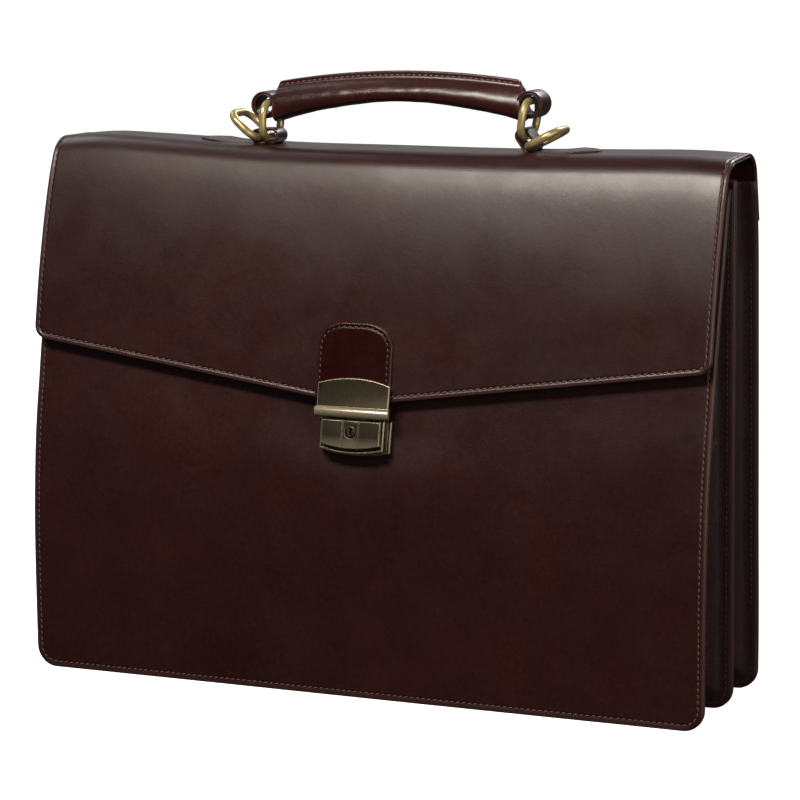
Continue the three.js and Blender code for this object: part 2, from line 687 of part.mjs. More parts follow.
function gripSection(x) {
  const z = gripValue('z', x);
  const rise = gripValue('rise', x);
  const half = gripValue('half', x);
  const finTop = z + rise + FIN_HEIGHT;
  const finX = x * (1 - GRIP_FIN_SETBACK / GRIP_HALF_LENGTH);
  const rootTurn = Math.acos(FIN_HALF_THICKNESS / half);
  const root = z + rise * Math.sin(rootTurn);
  const body = between(rootTurn, -Math.PI - rootTurn, GRIP_ROUND_STEPS).map(
    (turn) => new THREE.Vector3(x, half * Math.cos(turn), z + rise * Math.sin(turn)),
  );
  const finSide = (hand) => [
    new THREE.Vector3((x + finX) / 2, hand * FIN_HALF_THICKNESS, (root + finTop) / 2),
    new THREE.Vector3(finX, hand * FIN_HALF_THICKNESS * 0.8, finTop),
  ];
  return [...body, ...finSide(-1), ...finSide(1).reverse()];
}

const gripLoops = between(-GRIP_HALF_LENGTH, GRIP_HALF_LENGTH, GRIP_STEPS).map(gripSection);
const gripSolid = cutBy(
  solidOf(loft(gripLoops, (p) => new THREE.Vector2(p.y, p.z))),
  bandGeometry(GRIP_HALF_LENGTH, CORE_STRAP.thickness + 2 * SEAT_GAP, CORE_STRAP.width + 2 * SEAT_GAP),
  ...eyeRollers(HANDLE_EYE.outer + SEAT_GAP, HANDLE_EYE.width + 2 * SEAT_GAP),
);
const handleGrip = addPiece(carry, 'handle_grip', geometryOf(gripSolid), LEATHER);
handleGrip.position.z = -HANDLE_EYE.z;

// The origin lies under the middle of the case's depth
briefcase.updateMatrixWorld(true);
const outerBox = new THREE.Box3().setFromObject(briefcase);
briefcase.position.y = -outerBox.getCenter(new THREE.Vector3()).y;

export default briefcase;
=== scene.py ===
import math

import bmesh
import bpy
import numpy as np
from mathutils import Matrix, Vector


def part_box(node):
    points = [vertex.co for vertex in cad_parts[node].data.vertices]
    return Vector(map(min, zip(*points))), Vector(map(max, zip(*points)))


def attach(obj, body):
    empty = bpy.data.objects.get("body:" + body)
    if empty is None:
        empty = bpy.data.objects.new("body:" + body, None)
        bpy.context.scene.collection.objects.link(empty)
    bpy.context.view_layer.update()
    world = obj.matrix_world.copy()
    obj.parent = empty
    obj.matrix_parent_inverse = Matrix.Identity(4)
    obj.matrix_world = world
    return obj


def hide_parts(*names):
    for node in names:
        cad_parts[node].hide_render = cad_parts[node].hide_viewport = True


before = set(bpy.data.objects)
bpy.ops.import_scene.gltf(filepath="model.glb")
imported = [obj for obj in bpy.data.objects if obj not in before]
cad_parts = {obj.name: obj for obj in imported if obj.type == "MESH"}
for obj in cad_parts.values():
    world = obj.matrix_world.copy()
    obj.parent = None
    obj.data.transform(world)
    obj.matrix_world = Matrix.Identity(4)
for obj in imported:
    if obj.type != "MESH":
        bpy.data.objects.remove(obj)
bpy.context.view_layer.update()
mm = 0.001

# The view. A long lens looks from the right front and a little above, as the photograph was
# taken, at the case on a pale floor.
VIEW_FROM = Vector((700.295, -1688.928, 461.436)) * mm
VIEW_TO = Vector((26.04, -47.373, 168.92)) * mm
LENS = 149.28

bpy.ops.object.camera_add(location=VIEW_FROM)
camera = bpy.context.object
camera.rotation_euler = (VIEW_TO - VIEW_FROM).to_track_quat("-Z", "Y").to_euler()
camera.data.lens = LENS
camera.data.sensor_width = 36
bpy.context.scene.camera = camera
bpy.context.scene.view_settings.view_transform = "Standard"

FLOOR_SIZE = 40

bpy.ops.mesh.primitive_plane_add(size=FLOOR_SIZE)
floor = bpy.context.object
floor.name = "studio_floor"
floor.visible_glossy = False
floor.visible_diffuse = False
paper = bpy.data.materials.new("floor_paper")
paper.use_nodes = True
paper_surface = paper.node_tree.nodes["Principled BSDF"]
paper_surface.inputs["Base Color"].default_value = (0.86, 0.86, 0.86, 1)
paper_surface.inputs["Roughness"].default_value = 0.9
paper_surface.inputs["Emission Color"].default_value = (1, 1, 1, 1)
paper_surface.inputs["Emission Strength"].default_value = 1
floor.data.materials.append(paper)


# Studio light. A warm soft box high in front gives the sheen under the flap's bend, and weaker
# ones fill the right front and both sides. One behind lights the rims, and two wide ones behind at
# the left show in the flap's top.
LIGHT_AIM = Vector((0, 0, 0.2))
WARM_LIGHT = (1, 0.91, 0.81)


def soft_box(name, place, width, height, power, colour=(1, 1, 1)):
    """A rectangular light that faces the case."""
    bpy.ops.object.light_add(type="AREA", location=place)
    box = bpy.context.object
    box.name = name
    box.rotation_euler = (LIGHT_AIM - Vector(place)).to_track_quat("-Z", "Y").to_euler()
    box.data.shape = "RECTANGLE"
    box.data.size = width
    box.data.size_y = height
    box.data.energy = power
    box.data.color = colour


soft_box("key_box", (-0.18, -1.27, 1.49), 0.9, 0.32, 40, WARM_LIGHT)
soft_box("front_box", (1.25, -1.15, 0.42), 1.3, 1.0, 9, WARM_LIGHT)
soft_box("right_box", (1.9, -0.34, 0.72), 0.8, 0.8, 4)
soft_box("left_box", (-1.2, 0.5, 1.6), 0.8, 0.8, 6)
soft_box("rear_box", (0.41, 1.52, 1.43), 0.9, 0.6, 20)
soft_box("back_low_box", (-0.83, 1.97, 0.73), 2.2, 0.7, 1.9)
soft_box("back_high_box", (-0.68, 1.6, 1.55), 2.2, 0.8, 2.4)

sky = bpy.data.worlds.new("studio_air")
sky.use_nodes = True
sky.node_tree.nodes["Background"].inputs["Color"].default_value = (0.95, 0.97, 1, 1)
sky.node_tree.nodes["Background"].inputs["Strength"].default_value = 0.045
bpy.context.scene.world = sky


# Leaves: front, middle and back. Each is two layers of leather sewn over a board, with edges
# turned in, so its rim shows two rounded layers and its face a bead outside the stitching.
def only(piece):
    """Makes a piece the only selected one."""
    bpy.ops.object.select_all(action="DESELECT")
    piece.select_set(True)
    bpy.context.view_layer.objects.active = piece


def edit_all():
    """Enters edit mode on the active piece, with all of it selected."""
    bpy.ops.object.mode_set(mode="EDIT")
    bpy.ops.mesh.select_all(action="SELECT")


def face_outwards(piece):
    """Turns all faces of a piece outwards."""
    only(piece)
    edit_all()
    bpy.ops.mesh.normals_make_consistent(inside=False)
    bpy.ops.object.mode_set(mode="OBJECT")


def pick(piece, kind, test):
    """In edit mode, selects the edges or faces that pass a test."""
    bpy.ops.mesh.select_mode(type=kind)
    bpy.ops.mesh.select_all(action="DESELECT")
    shape = bmesh.from_edit_mesh(piece.data)
    parts = {"EDGE": shape.edges, "FACE": shape.faces}[kind]
    for part in parts:
        part.select_set(bool(test(part)))
    shape.select_flush_mode()
    bmesh.update_edit_mesh(piece.data)


def points_of(piece):
    """The places of a piece's vertices, one to a row."""
    points = np.empty(len(piece.data.vertices) * 3)
    piece.data.vertices.foreach_get("co", points)
    return points.reshape(-1, 3)


def set_points(piece, points):
    """Moves a piece's vertices to new places."""
    piece.data.vertices.foreach_set("co", points.ravel())
    piece.data.update()


def rounded_outline(corners, radii, inset=0, steps=10):
    """Points round an outline, from its first corner to its last, with corners rounded, moved inwards."""
    corners = [Vector(c) for c in corners]
    sides = [(corners[(i + 1) % len(corners)] - c).normalized() for i, c in enumerate(corners)]
    inward = [Vector((-side.y, side.x)) for side in sides]
    points = []
    for i, corner in enumerate(corners):
        a, b = inward[i - 1], inward[i]
        moved = corner + (a + b) * inset / (1 + a.dot(b))
        radius = max(radii[i] - inset, 0)
        if radius == 0:
            points.append(moved)
            continue
        turn = sides[i - 1].angle(sides[i])
        start = moved - sides[i - 1] * radius * math.tan(turn / 2)
        centre = start + a * radius
        for k in range(steps + 1):
            points.append(centre + Matrix.Rotation(turn * k / steps, 2) @ (start - centre))
    return np.array(points)


def cut_out(name, outline):
    """A flat piece in the xz plane with the given outline, facing -y, left in edit mode."""
    bpy.ops.object.select_all(action="DESELECT")
    bpy.ops.mesh.primitive_circle_add(vertices=len(outline), radius=1, fill_type="NGON")
    piece = bpy.context.object
    piece.name = name
    bpy.ops.object.mode_set(mode="EDIT")
    shape = bmesh.from_edit_mesh(piece.data)
    for vert, (x, z) in zip(shape.verts, outline):
        vert.co = (x, 0, z)
    bmesh.update_edit_mesh(piece.data)
    bpy.ops.mesh.select_mode(type="FACE")
    bpy.ops.mesh.select_all(action="SELECT")
    bpy.ops.mesh.normals_make_consistent(inside=False)
    shape = bmesh.from_edit_mesh(piece.data)
    shape.faces.ensure_lookup_table()
    if shape.faces[0].normal.y > 0:
        bpy.ops.mesh.flip_normals()
    return piece


CHANNEL_HALF_WIDTH = 0.7 * mm
# Shares of a layer's thickness: two steps in and up that round its rim, the height of its side and
# of the groove where two layers meet, and how far in the groove goes
RIM_ROUNDING = ((0.19, 0.32), (0.33, 0.18))
RIM_SIDE, RIM_GROOVE, GROOVE_INSET = 0.3, 0.2, 0.3


def turn_edges(piece, layer, stitch_inset, bead=0.12 * mm, channel=0.3 * mm):
    """Rounds the rim of one layer, raises a bead beside it and presses the stitch channel."""
    rim_width = layer * sum(inward for inward, raised in RIM_ROUNDING)
    slope = (stitch_inset - CHANNEL_HALF_WIDTH - rim_width) / 2
    steps = [(inward * layer, raised * layer) for inward, raised in RIM_ROUNDING]
    steps += [
        (slope, bead), (slope, -bead),
        (0.6 * CHANNEL_HALF_WIDTH, -channel), (0.8 * CHANNEL_HALF_WIDTH, 0),
        (0.6 * CHANNEL_HALF_WIDTH, channel), (CHANNEL_HALF_WIDTH, 0),
    ]
    bpy.ops.mesh.select_all(action="SELECT")
    bpy.ops.transform.translate(value=(0, -layer / 2, 0))
    for inward, raised in steps:
        bpy.ops.mesh.inset(thickness=inward, depth=raised, use_even_offset=True)
    pick(piece, "EDGE", lambda e: e.is_boundary)
    shape = bmesh.from_edit_mesh(piece.data)
    spots = np.array([v.co for v in shape.verts if v.select])
    middle = (spots.min(0) + spots.max(0)) / 2
    size = spots.max(0) - spots.min(0)
    groove = GROOVE_INSET * layer
    for share in (RIM_SIDE, RIM_GROOVE):
        bpy.ops.mesh.extrude_edges_move(TRANSFORM_OT_translate={"value": (0, share * layer, 0)})
    bpy.ops.transform.resize(
        value=(1 - 2 * groove / size[0], 1, 1 - 2 * groove / size[2]),
        center_override=(middle[0], 0, middle[2]),
    )


def slice_across(axis, places):
    """Cuts the piece in edit mode by planes across an axis, so that it can bend."""
    for place in places:
        bpy.ops.mesh.select_all(action="SELECT")
        bpy.ops.mesh.bisect(plane_co=Vector(axis) * place, plane_no=axis)


def apply_modifier(piece, kind, **settings):
    """Adds a modifier with the given settings and applies it."""
    only(piece)
    modifier = piece.modifiers.new(kind.lower(), kind)
    for key, value in settings.items():
        setattr(modifier, key, value)
    bpy.ops.object.modifier_apply(modifier=modifier.name)


MERGE_DISTANCE = 0.02 * mm
SMOOTH_BELOW = math.radians(50)


def line_both_sides(piece):
    """Leaves edit mode and adds the second layer, the mirror of the first."""
    bpy.ops.object.mode_set(mode="OBJECT")
    apply_modifier(
        piece, "MIRROR", use_axis=(False, True, False), use_mirror_merge=True,
        merge_threshold=MERGE_DISTANCE,
    )
    face_outwards(piece)
    bpy.ops.object.shade_smooth_by_angle(angle=SMOOTH_BELOW)


# A stitch's rings, as place along it and fullness, and its dip and height as shares
STITCH_RINGS = ((-1, 0.3), (-0.65, 0.85), (0, 1), (0.65, 0.85), (1, 0.3))
STITCH_SIDES = 6
STITCH_DIP = 0.35
STITCH_HEIGHT = 0.75
# Shares of the pitch: where the first stitch lies, and how far ahead its heading is read
STITCH_START, STITCH_AHEAD = 0.75, 0.3


def one_stitch(length, width, height):
    """Points and faces of one stitch: a short thread that dips at both ends."""
    points = []
    for along, fullness in STITCH_RINGS:
        for k in range(STITCH_SIDES):
            turn = 2 * math.pi * k / STITCH_SIDES
            drop = STITCH_DIP * height * along**2
            points.append(
                (
                    along * length / 2,
                    drop - fullness * height / 2 * math.sin(turn),
                    fullness * width / 2 * math.cos(turn),
                )
            )
    faces = []
    for ring in range(len(STITCH_RINGS) - 1):
        for k in range(STITCH_SIDES):
            low, high = ring * STITCH_SIDES, (ring + 1) * STITCH_SIDES
            following = (k + 1) % STITCH_SIDES
            faces.append((low + k, low + following, high + following, high + k))
    last = (len(STITCH_RINGS) - 1) * STITCH_SIDES
    faces.append(tuple(range(STITCH_SIDES))[::-1])
    faces.append(tuple(range(last, last + STITCH_SIDES)))
    return np.array(points), faces


def sew(name, line, depth, pitch, length, width, thread, slant=9):
    """A row of stitches along a line in the xz plane, at a depth y, facing -y."""
    steps = np.diff(line, axis=0)
    reach = np.concatenate(([0], np.cumsum(np.hypot(steps[:, 0], steps[:, 1]))))
    count = int((reach[-1] - pitch) // pitch)
    shape, shape_faces = one_stitch(length, width, STITCH_HEIGHT * width)
    points, faces = [], []
    for k in range(count):
        here = pitch * (k + STITCH_START)
        x, z = (np.interp(here, reach, line[:, axis]) for axis in (0, 1))
        ahead = [np.interp(here + STITCH_AHEAD * pitch, reach, line[:, axis]) for axis in (0, 1)]
        heading = math.atan2(ahead[1] - z, ahead[0] - x) + math.radians(slant)
        turned = shape @ np.array(
            [
                [math.cos(heading), 0, math.sin(heading)],
                [0, 1, 0],
                [-math.sin(heading), 0, math.cos(heading)],
            ]
        )
        faces += [tuple(i + len(shape) * k for i in face) for face in shape_faces]
        points.append(turned + (x, depth, z))
    mesh = bpy.data.meshes.new(name)
    mesh.from_pydata(np.concatenate(points).tolist(), [], faces)
    row = bpy.data.objects.new(name, mesh)
    bpy.context.scene.collection.objects.link(row)
    face_outwards(row)
    bpy.ops.object.shade_smooth()
    row.data.materials.append(thread)
    return row


def node(tree, kind, **inputs):
    """Adds a shader node; a value goes to the input of that name, or else to the setting."""
    made = tree.nodes.new(kind)
    for key, value in inputs.items():
        title = key.replace("_", " ").title()
        if title in made.inputs:
            made.inputs[title].default_value = value
        else:
            setattr(made, key, value)
    return made


def new_finish(name):
    """A new material, its node tree, its surface and the place at which patterns are read."""
    finish = bpy.data.materials.new(name)
    finish.use_nodes = True
    tree = finish.node_tree
    place = tree.nodes.new("ShaderNodeTexCoord").outputs["Object"]
    return finish, tree, tree.nodes["Principled BSDF"], place


def leather(name, deep, warm, worn, gloss, grain=1.0, shine=1.0):
    """Polished calf: clouded brown, fine grain, lighter where the edge attribute says it is worn."""
    finish, tree, skin, place = new_finish(name)
    link = tree.links.new

    cloud = node(tree, "ShaderNodeTexNoise", scale=17, detail=4, roughness=0.6, distortion=0.4)
    cloud_range = node(tree, "ShaderNodeMapRange", from_min=0.36, from_max=0.66)
    dye = node(tree, "ShaderNodeMix", data_type="RGBA")
    dye.inputs["A"].default_value = (*deep, 1)
    dye.inputs["B"].default_value = (*warm, 1)
    link(place, cloud.inputs["Vector"])
    link(cloud.outputs["Fac"], cloud_range.inputs["Value"])
    link(cloud_range.outputs["Result"], dye.inputs["Factor"])

    speck = node(tree, "ShaderNodeTexNoise", scale=420, detail=3, roughness=0.6)
    speck_range = node(tree, "ShaderNodeMapRange", from_min=0.3, from_max=0.7, to_min=0.78, to_max=1.22)
    speckled = node(tree, "ShaderNodeMix", data_type="RGBA", blend_type="MULTIPLY")
    speckled.inputs["Factor"].default_value = 1
    link(place, speck.inputs["Vector"])
    link(speck.outputs["Fac"], speck_range.inputs["Value"])
    link(dye.outputs["Result"], speckled.inputs["A"])
    link(speck_range.outputs["Result"], speckled.inputs["B"])

    edge = node(tree, "ShaderNodeAttribute", attribute_name="edge")
    edged = node(tree, "ShaderNodeMix", data_type="RGBA")
    edged.inputs["B"].default_value = (*worn, 1)
    link(edge.outputs["Fac"], edged.inputs["Factor"])
    link(speckled.outputs["Result"], edged.inputs["A"])
    link(edged.outputs["Result"], skin.inputs["Base Color"])

    polish = node(tree, "ShaderNodeTexNoise", scale=38, detail=5, roughness=0.65)
    polish_range = node(
        tree, "ShaderNodeMapRange", from_min=0.3, from_max=0.7, to_min=gloss - 0.05, to_max=gloss + 0.07
    )
    link(place, polish.inputs["Vector"])
    link(polish.outputs["Fac"], polish_range.inputs["Value"])
    link(polish_range.outputs["Result"], skin.inputs["Roughness"])

    pores = node(tree, "ShaderNodeTexVoronoi", scale=1500, feature="SMOOTH_F1")
    fibre = node(tree, "ShaderNodeTexNoise", scale=1700, detail=3, roughness=0.7)
    crease = node(tree, "ShaderNodeTexNoise", scale=75, detail=4, roughness=0.55, distortion=0.8)
    fine = node(tree, "ShaderNodeBump", strength=0.30 * grain, distance=0.25 * mm)
    pitted = node(tree, "ShaderNodeBump", strength=0.10 * grain, distance=0.35 * mm)
    broad = node(tree, "ShaderNodeBump", strength=0.085 * grain, distance=1.2 * mm)
    link(place, pores.inputs["Vector"])
    link(place, fibre.inputs["Vector"])
    link(place, crease.inputs["Vector"])
    link(crease.outputs["Fac"], broad.inputs["Height"])
    link(broad.outputs["Normal"], pitted.inputs["Normal"])
    link(pores.outputs["Distance"], pitted.inputs["Height"])
    link(pitted.outputs["Normal"], fine.inputs["Normal"])
    link(fibre.outputs["Fac"], fine.inputs["Height"])
    link(fine.outputs["Normal"], skin.inputs["Normal"])
    skin.inputs["Specular IOR Level"].default_value = 0.5 * shine
    skin.inputs["Coat Weight"].default_value = 0.25 * shine
    skin.inputs["Coat Roughness"].default_value = 0.22
    return finish


def waxed_thread(name, colour):
    """Twisted sewing thread."""
    finish, tree, skin, place = new_finish(name)
    link = tree.links.new
    twist = node(tree, "ShaderNodeTexNoise", scale=900, detail=2)
    tone = node(tree, "ShaderNodeMix", data_type="RGBA")
    tone.inputs["A"].default_value = (*(0.55 * c for c in colour), 1)
    tone.inputs["B"].default_value = (*(1.35 * c for c in colour), 1)
    link(place, twist.inputs["Vector"])
    link(twist.outputs["Fac"], tone.inputs["Factor"])
    link(tone.outputs["Result"], skin.inputs["Base Color"])
    ply = node(tree, "ShaderNodeBump", strength=0.4, distance=0.2 * mm)
    link(twist.outputs["Fac"], ply.inputs["Height"])
    link(ply.outputs["Normal"], skin.inputs["Normal"])
    skin.inputs["Roughness"].default_value = 0.6
    return finish


def smooth_step(value, low, high):
    """0 up to one value and 1 from another, with a soft rise between them."""
    t = np.clip((value - low) / (high - low), 0, 1)
    return t * t * (3 - 2 * t)


def set_edge(piece, worn):
    """Writes the edge attribute of a piece from a list of values."""
    edge = piece.data.attributes.new("edge", "FLOAT", "POINT")
    edge.data.foreach_set("value", np.asarray(worn, np.float32))


def mark_edge(piece, corners, full, gone):
    """Writes the edge attribute: 1 at the outline, 0 from a distance inside it, while still flat."""
    points = points_of(piece)[:, (0, 2)]
    inside = np.full(len(points), np.inf)
    for i, start in enumerate(corners):
        along = Vector(corners[(i + 1) % len(corners)]) - Vector(start)
        along.normalize()
        inside = np.minimum(inside, (points - np.array(start)) @ np.array((-along.y, along.x)))
    set_edge(piece, 1 - smooth_step(inside, full, gone))


def profile_of(node_name):
    """Heights and front-face depths of a leaf, from the rows of its CAD solid."""
    spots = np.array([v.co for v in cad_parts[node_name].data.vertices])
    heights = np.unique(spots[:, 2].round(5))
    depths = np.array([spots[np.abs(spots[:, 2] - h) < MERGE_DISTANCE, 1].min() for h in heights])
    return heights, depths


def on_curve(places, values, at):
    """Values on a smooth curve that goes through the given places and values."""
    slopes = np.gradient(values, places)
    i = np.clip(np.searchsorted(places, at) - 1, 0, len(places) - 2)
    span = places[i + 1] - places[i]
    t = (at - places[i]) / span
    start = (1 + 2 * t) * (1 - t) ** 2 * values[i] + t * (1 - t) ** 2 * span * slopes[i]
    end = t * t * (3 - 2 * t) * values[i + 1] - t * t * (1 - t) * span * slopes[i + 1]
    return start + end


def push_about(piece, size, detail, depth, **settings):
    """Moves the faces of a piece in and out by a cloud pattern."""
    clouds = bpy.data.textures.new("clouds", "CLOUDS")
    clouds.noise_scale = size
    clouds.noise_depth = detail
    apply_modifier(
        piece, "DISPLACE", texture=clouds, texture_coords="LOCAL", strength=depth, **settings
    )
    bpy.data.textures.remove(clouds)


def waver(piece, size, depth):
    """Lets a board be a little uneven, as leather is: slow swells along y."""
    push_about(piece, size, 1, depth, direction="Y")


CASE_BROWN = leather("case_leather", (0.0175, 0.0044, 0.0043), (0.0240, 0.0054, 0.0050),
                     (0.055, 0.024, 0.022), 0.35, shine=0.66)
BROWN_THREAD = waxed_thread("brown_thread", (0.088, 0.053, 0.047))
FOLD_THREAD = waxed_thread("fold_thread", (0.060, 0.034, 0.031))

LEAF_LAYER = 1.5 * mm
LEAF_CORNER = 12 * mm
LEAF_HALF_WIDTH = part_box("front_panel")[1].x
LEAF_STITCH_INSET = 3.35 * mm
LEAF_STITCH_PITCH = 3.4 * mm
LEAF_STITCH_LENGTH = 2.5 * mm
LEAF_STITCH_WIDTH, FLANGE_STITCH_WIDTH = 0.8 * mm, 0.6 * mm
LEAF_WORN = (0.3 * mm, 2.6 * mm)
LEAF_WAVER = (90 * mm, 0.7 * mm)
# Where the thread lies: on a bare leaf's face, or on the gusset flange that is sewn to it
FLANGE_FACE = LEAF_LAYER + 1.8 * mm
LEAF_ROW = 7 * mm
LEAF_COLUMN = 12 * mm
# The front leaf is drawn in at the lock: where, how far it swells out round it, the width of the
# ring that swells and its reach, and the heights between which the swelling ends
LOCK_PULL = (-4 * mm, 146 * mm)
LOCK_SWELL = 4.5 * mm
LOCK_RING, LOCK_REACH = 22 * mm, 55 * mm
LOCK_SWELL_TOP = (120 * mm, 156 * mm)


def lock_swell(points):
    """How far the front leaf swells out below and beside the lock."""
    from_lock = np.hypot(points[:, 0] - LOCK_PULL[0], points[:, 2] - LOCK_PULL[1])
    ring = 1 - np.exp(-((from_lock / LOCK_RING) ** 2))
    fade = np.exp(-((from_lock / LOCK_REACH) ** 2))
    return LOCK_SWELL * ring * fade * (1 - smooth_step(points[:, 2], *LOCK_SWELL_TOP))


def make_leaf(name, stitch_depths):
    """Makes one leaf, with a row of stitches at each depth given."""
    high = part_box(name)[1]
    half = LEAF_HALF_WIDTH
    corners = [(-half, high.z), (-half, 0), (half, 0), (half, high.z)]
    radii = [0, LEAF_CORNER, LEAF_CORNER, 0]
    leaf = cut_out(name + "_leather", rounded_outline(corners, radii))
    turn_edges(leaf, LEAF_LAYER, LEAF_STITCH_INSET)
    slice_across((0, 0, 1), np.arange(LEAF_ROW, high.z, LEAF_ROW))
    slice_across((1, 0, 0), np.arange(-half + LEAF_COLUMN, half, LEAF_COLUMN))
    line_both_sides(leaf)
    mark_edge(leaf, corners, *LEAF_WORN)
    heights, depths = profile_of(name)
    line = rounded_outline(corners, radii, LEAF_STITCH_INSET)
    rows = []
    for side, depth in stitch_depths.items():
        bare = abs(depth) < FLANGE_FACE
        width = LEAF_STITCH_WIDTH if bare else FLANGE_STITCH_WIDTH
        thread = BROWN_THREAD if bare else FOLD_THREAD
        row = sew(
            f"{name}_{side}_stitches", line, depth, LEAF_STITCH_PITCH, LEAF_STITCH_LENGTH, width, thread
        )
        rows.append(row)
    for piece in (leaf, *rows):
        points = points_of(piece)
        points[:, 1] += on_curve(heights, depths, points[:, 2]) + LEAF_LAYER
        if name == "front_panel":
            points[:, 1] -= lock_swell(points)
        set_points(piece, points)
        waver(piece, *LEAF_WAVER)
        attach(piece, "case")
    leaf.data.materials.append(CASE_BROWN)
    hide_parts(name)


make_leaf("front_panel", {"front": -LEAF_LAYER, "back": FLANGE_FACE})
make_leaf("divider_panel", {"front": -FLANGE_FACE, "back": FLANGE_FACE})
make_leaf("back_panel", {"front": -FLANGE_FACE, "back": LEAF_LAYER})


# Gussets: one soft strip of thinner leather between two leaves, folded inwards along its middle
# and sewn to both, down one side, along the bottom and up the other. It creases at the corners.
CAD_MERGE_DISTANCE = 0.01 * mm


def copy_of(node_name, name):
    """A new piece with the shape of a CAD solid, its loose triangles merged."""
    piece = bpy.data.objects.new(name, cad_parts[node_name].data.copy())
    piece.data.materials.clear()
    bpy.context.scene.collection.objects.link(piece)
    only(piece)
    bpy.ops.mesh.customdata_custom_splitnormals_clear()
    edit_all()
    bpy.ops.mesh.remove_doubles(threshold=CAD_MERGE_DISTANCE)
    bpy.ops.object.mode_set(mode="OBJECT")
    return piece


def crumple(piece, size, depth, weights):
    """Pushes a piece in and out along its faces, as far as each point's weight lets it."""
    group = piece.vertex_groups.new(name="slack")
    for index, weight in enumerate(weights):
        group.add([index], float(weight), "REPLACE")
    push_about(piece, size, 2, depth, vertex_group=group.name)
    piece.vertex_groups.remove(piece.vertex_groups[group.name])


GUSSET_BROWN = leather("gusset_leather", (0.016, 0.0054, 0.0054), (0.022, 0.0062, 0.0060),
                       (0.05, 0.024, 0.022), 0.42, grain=4.2, shine=0.55)
GUSSET_FLANGE = 9 * mm
GUSSET_ROWS = np.arange(30 * mm, 285 * mm, 12 * mm)
GUSSET_COLUMNS = np.arange(-160 * mm, 165 * mm, 20 * mm)
# Beyond its flange the strip comes free over this width. Its slack lies in folds of a size and
# depth, with smaller ones at the corners, up to a height
GUSSET_LOOSENS = 8 * mm
GUSSET_FOLDS = (22 * mm, 1.1 * mm)
CORNER_FOLDS = (5 * mm, 1.0 * mm)
CORNER_FOLDS_TOP = 45 * mm

for gusset_name, leaves in (
    ("gusset_front", ["front_panel_leather", "divider_panel_leather"]),
    ("gusset_back", ["divider_panel_leather", "back_panel_leather"]),
):
    gusset = copy_of(gusset_name, gusset_name + "_leather")
    edit_all()
    bpy.ops.mesh.tris_convert_to_quads(
        face_threshold=math.radians(60), shape_threshold=math.radians(70)
    )
    slice_across((0, 0, 1), GUSSET_ROWS)
    slice_across((1, 0, 0), GUSSET_COLUMNS)
    bpy.ops.object.mode_set(mode="OBJECT")
    apply_modifier(gusset, "SUBSURF", levels=2, render_levels=2)
    spots = points_of(gusset)
    from_rim = np.minimum(LEAF_HALF_WIDTH - np.abs(spots[:, 0]), spots[:, 2])
    free = np.clip((from_rim - GUSSET_FLANGE) / GUSSET_LOOSENS, 0, 1)
    crumple(gusset, *GUSSET_FOLDS, free)
    low_corner = np.clip(1 - spots[:, 2] / CORNER_FOLDS_TOP, 0, 1)
    crumple(gusset, *CORNER_FOLDS, free * low_corner)
    only(gusset)
    bpy.ops.object.shade_smooth()
    gusset.data.materials.append(GUSSET_BROWN)
    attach(gusset, "case")
    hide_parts(gusset_name)


# Flap: one lined piece of leather sewn to the back leaf, carried over the top and down the front
# to a shallow point. Its edges are turned and sewn all round, and its top sinks under the handle.
FLAP_LAYER = 1.4 * mm
FLAP_HALF_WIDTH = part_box("flap")[1].x
# The outer face seen from the side, as (y, z): tip, slow bow, shoulder, front bend, back bend, edge
FLAP_SIDE_VIEW = mm * np.array(
    [(-48.36, 164.3), (-34.5, 247), (-21.5, 285), (-14, 300.95), (34.04, 303.74), (43.03, 265)]
)
FLAP_BENDS = np.array([400, 120, 16, 15]) * mm
FLAP_BEND_STEPS = 24
FLAP_RISE_LEFT, FLAP_RISE_RIGHT = 27 * mm, 28.9 * mm
FLAP_CORNER = 8 * mm
FLAP_TIP_ROUNDING = 20 * mm
FLAP_STITCH_INSET = 2.9 * mm
FLAP_STITCH_PITCH = 3.8 * mm
RIM_STITCH_LENGTH, RIM_STITCH_WIDTH, RIM_STITCH_SLANT = 3.2 * mm, 0.8 * mm, 15
BACK_STITCH_LENGTH, BACK_STITCH_WIDTH = 2.9 * mm, 0.85 * mm
FLAP_BEAD = 0.2 * mm
FLAP_WORN = (0.3 * mm, 2.4 * mm)
FLAP_WAVER = (70 * mm, 0.9 * mm)
# Share by which the flap is pared down behind its back bend
FLAP_PARED = 0.5
FLAP_FACE_ROW = 5 * mm
FLAP_BEND_ROW = 1.6 * mm
FLAP_COLUMN = 9 * mm
# How far the top lies above or below its straight line across the width, and its front bend above it
FLAP_TOP_X = np.array([-200, -179, -153, -124, -71, 0, 64, 137, 166, 183, 200]) * mm
FLAP_TOP_LIFT = np.array([-1.6, 0.3, 0.0, -0.8, -2.4, -2.2, -1.8, 0.0, 0.8, 0.7, -0.1]) * mm
FLAP_FRONT_LIFT = np.array([1.9, 1.9, 1.7, 1.3, 0.8, 0.8, 0.7, 0.5, 0.4, 0.3, 0.2]) * mm
FLAP_FADE = 60 * mm


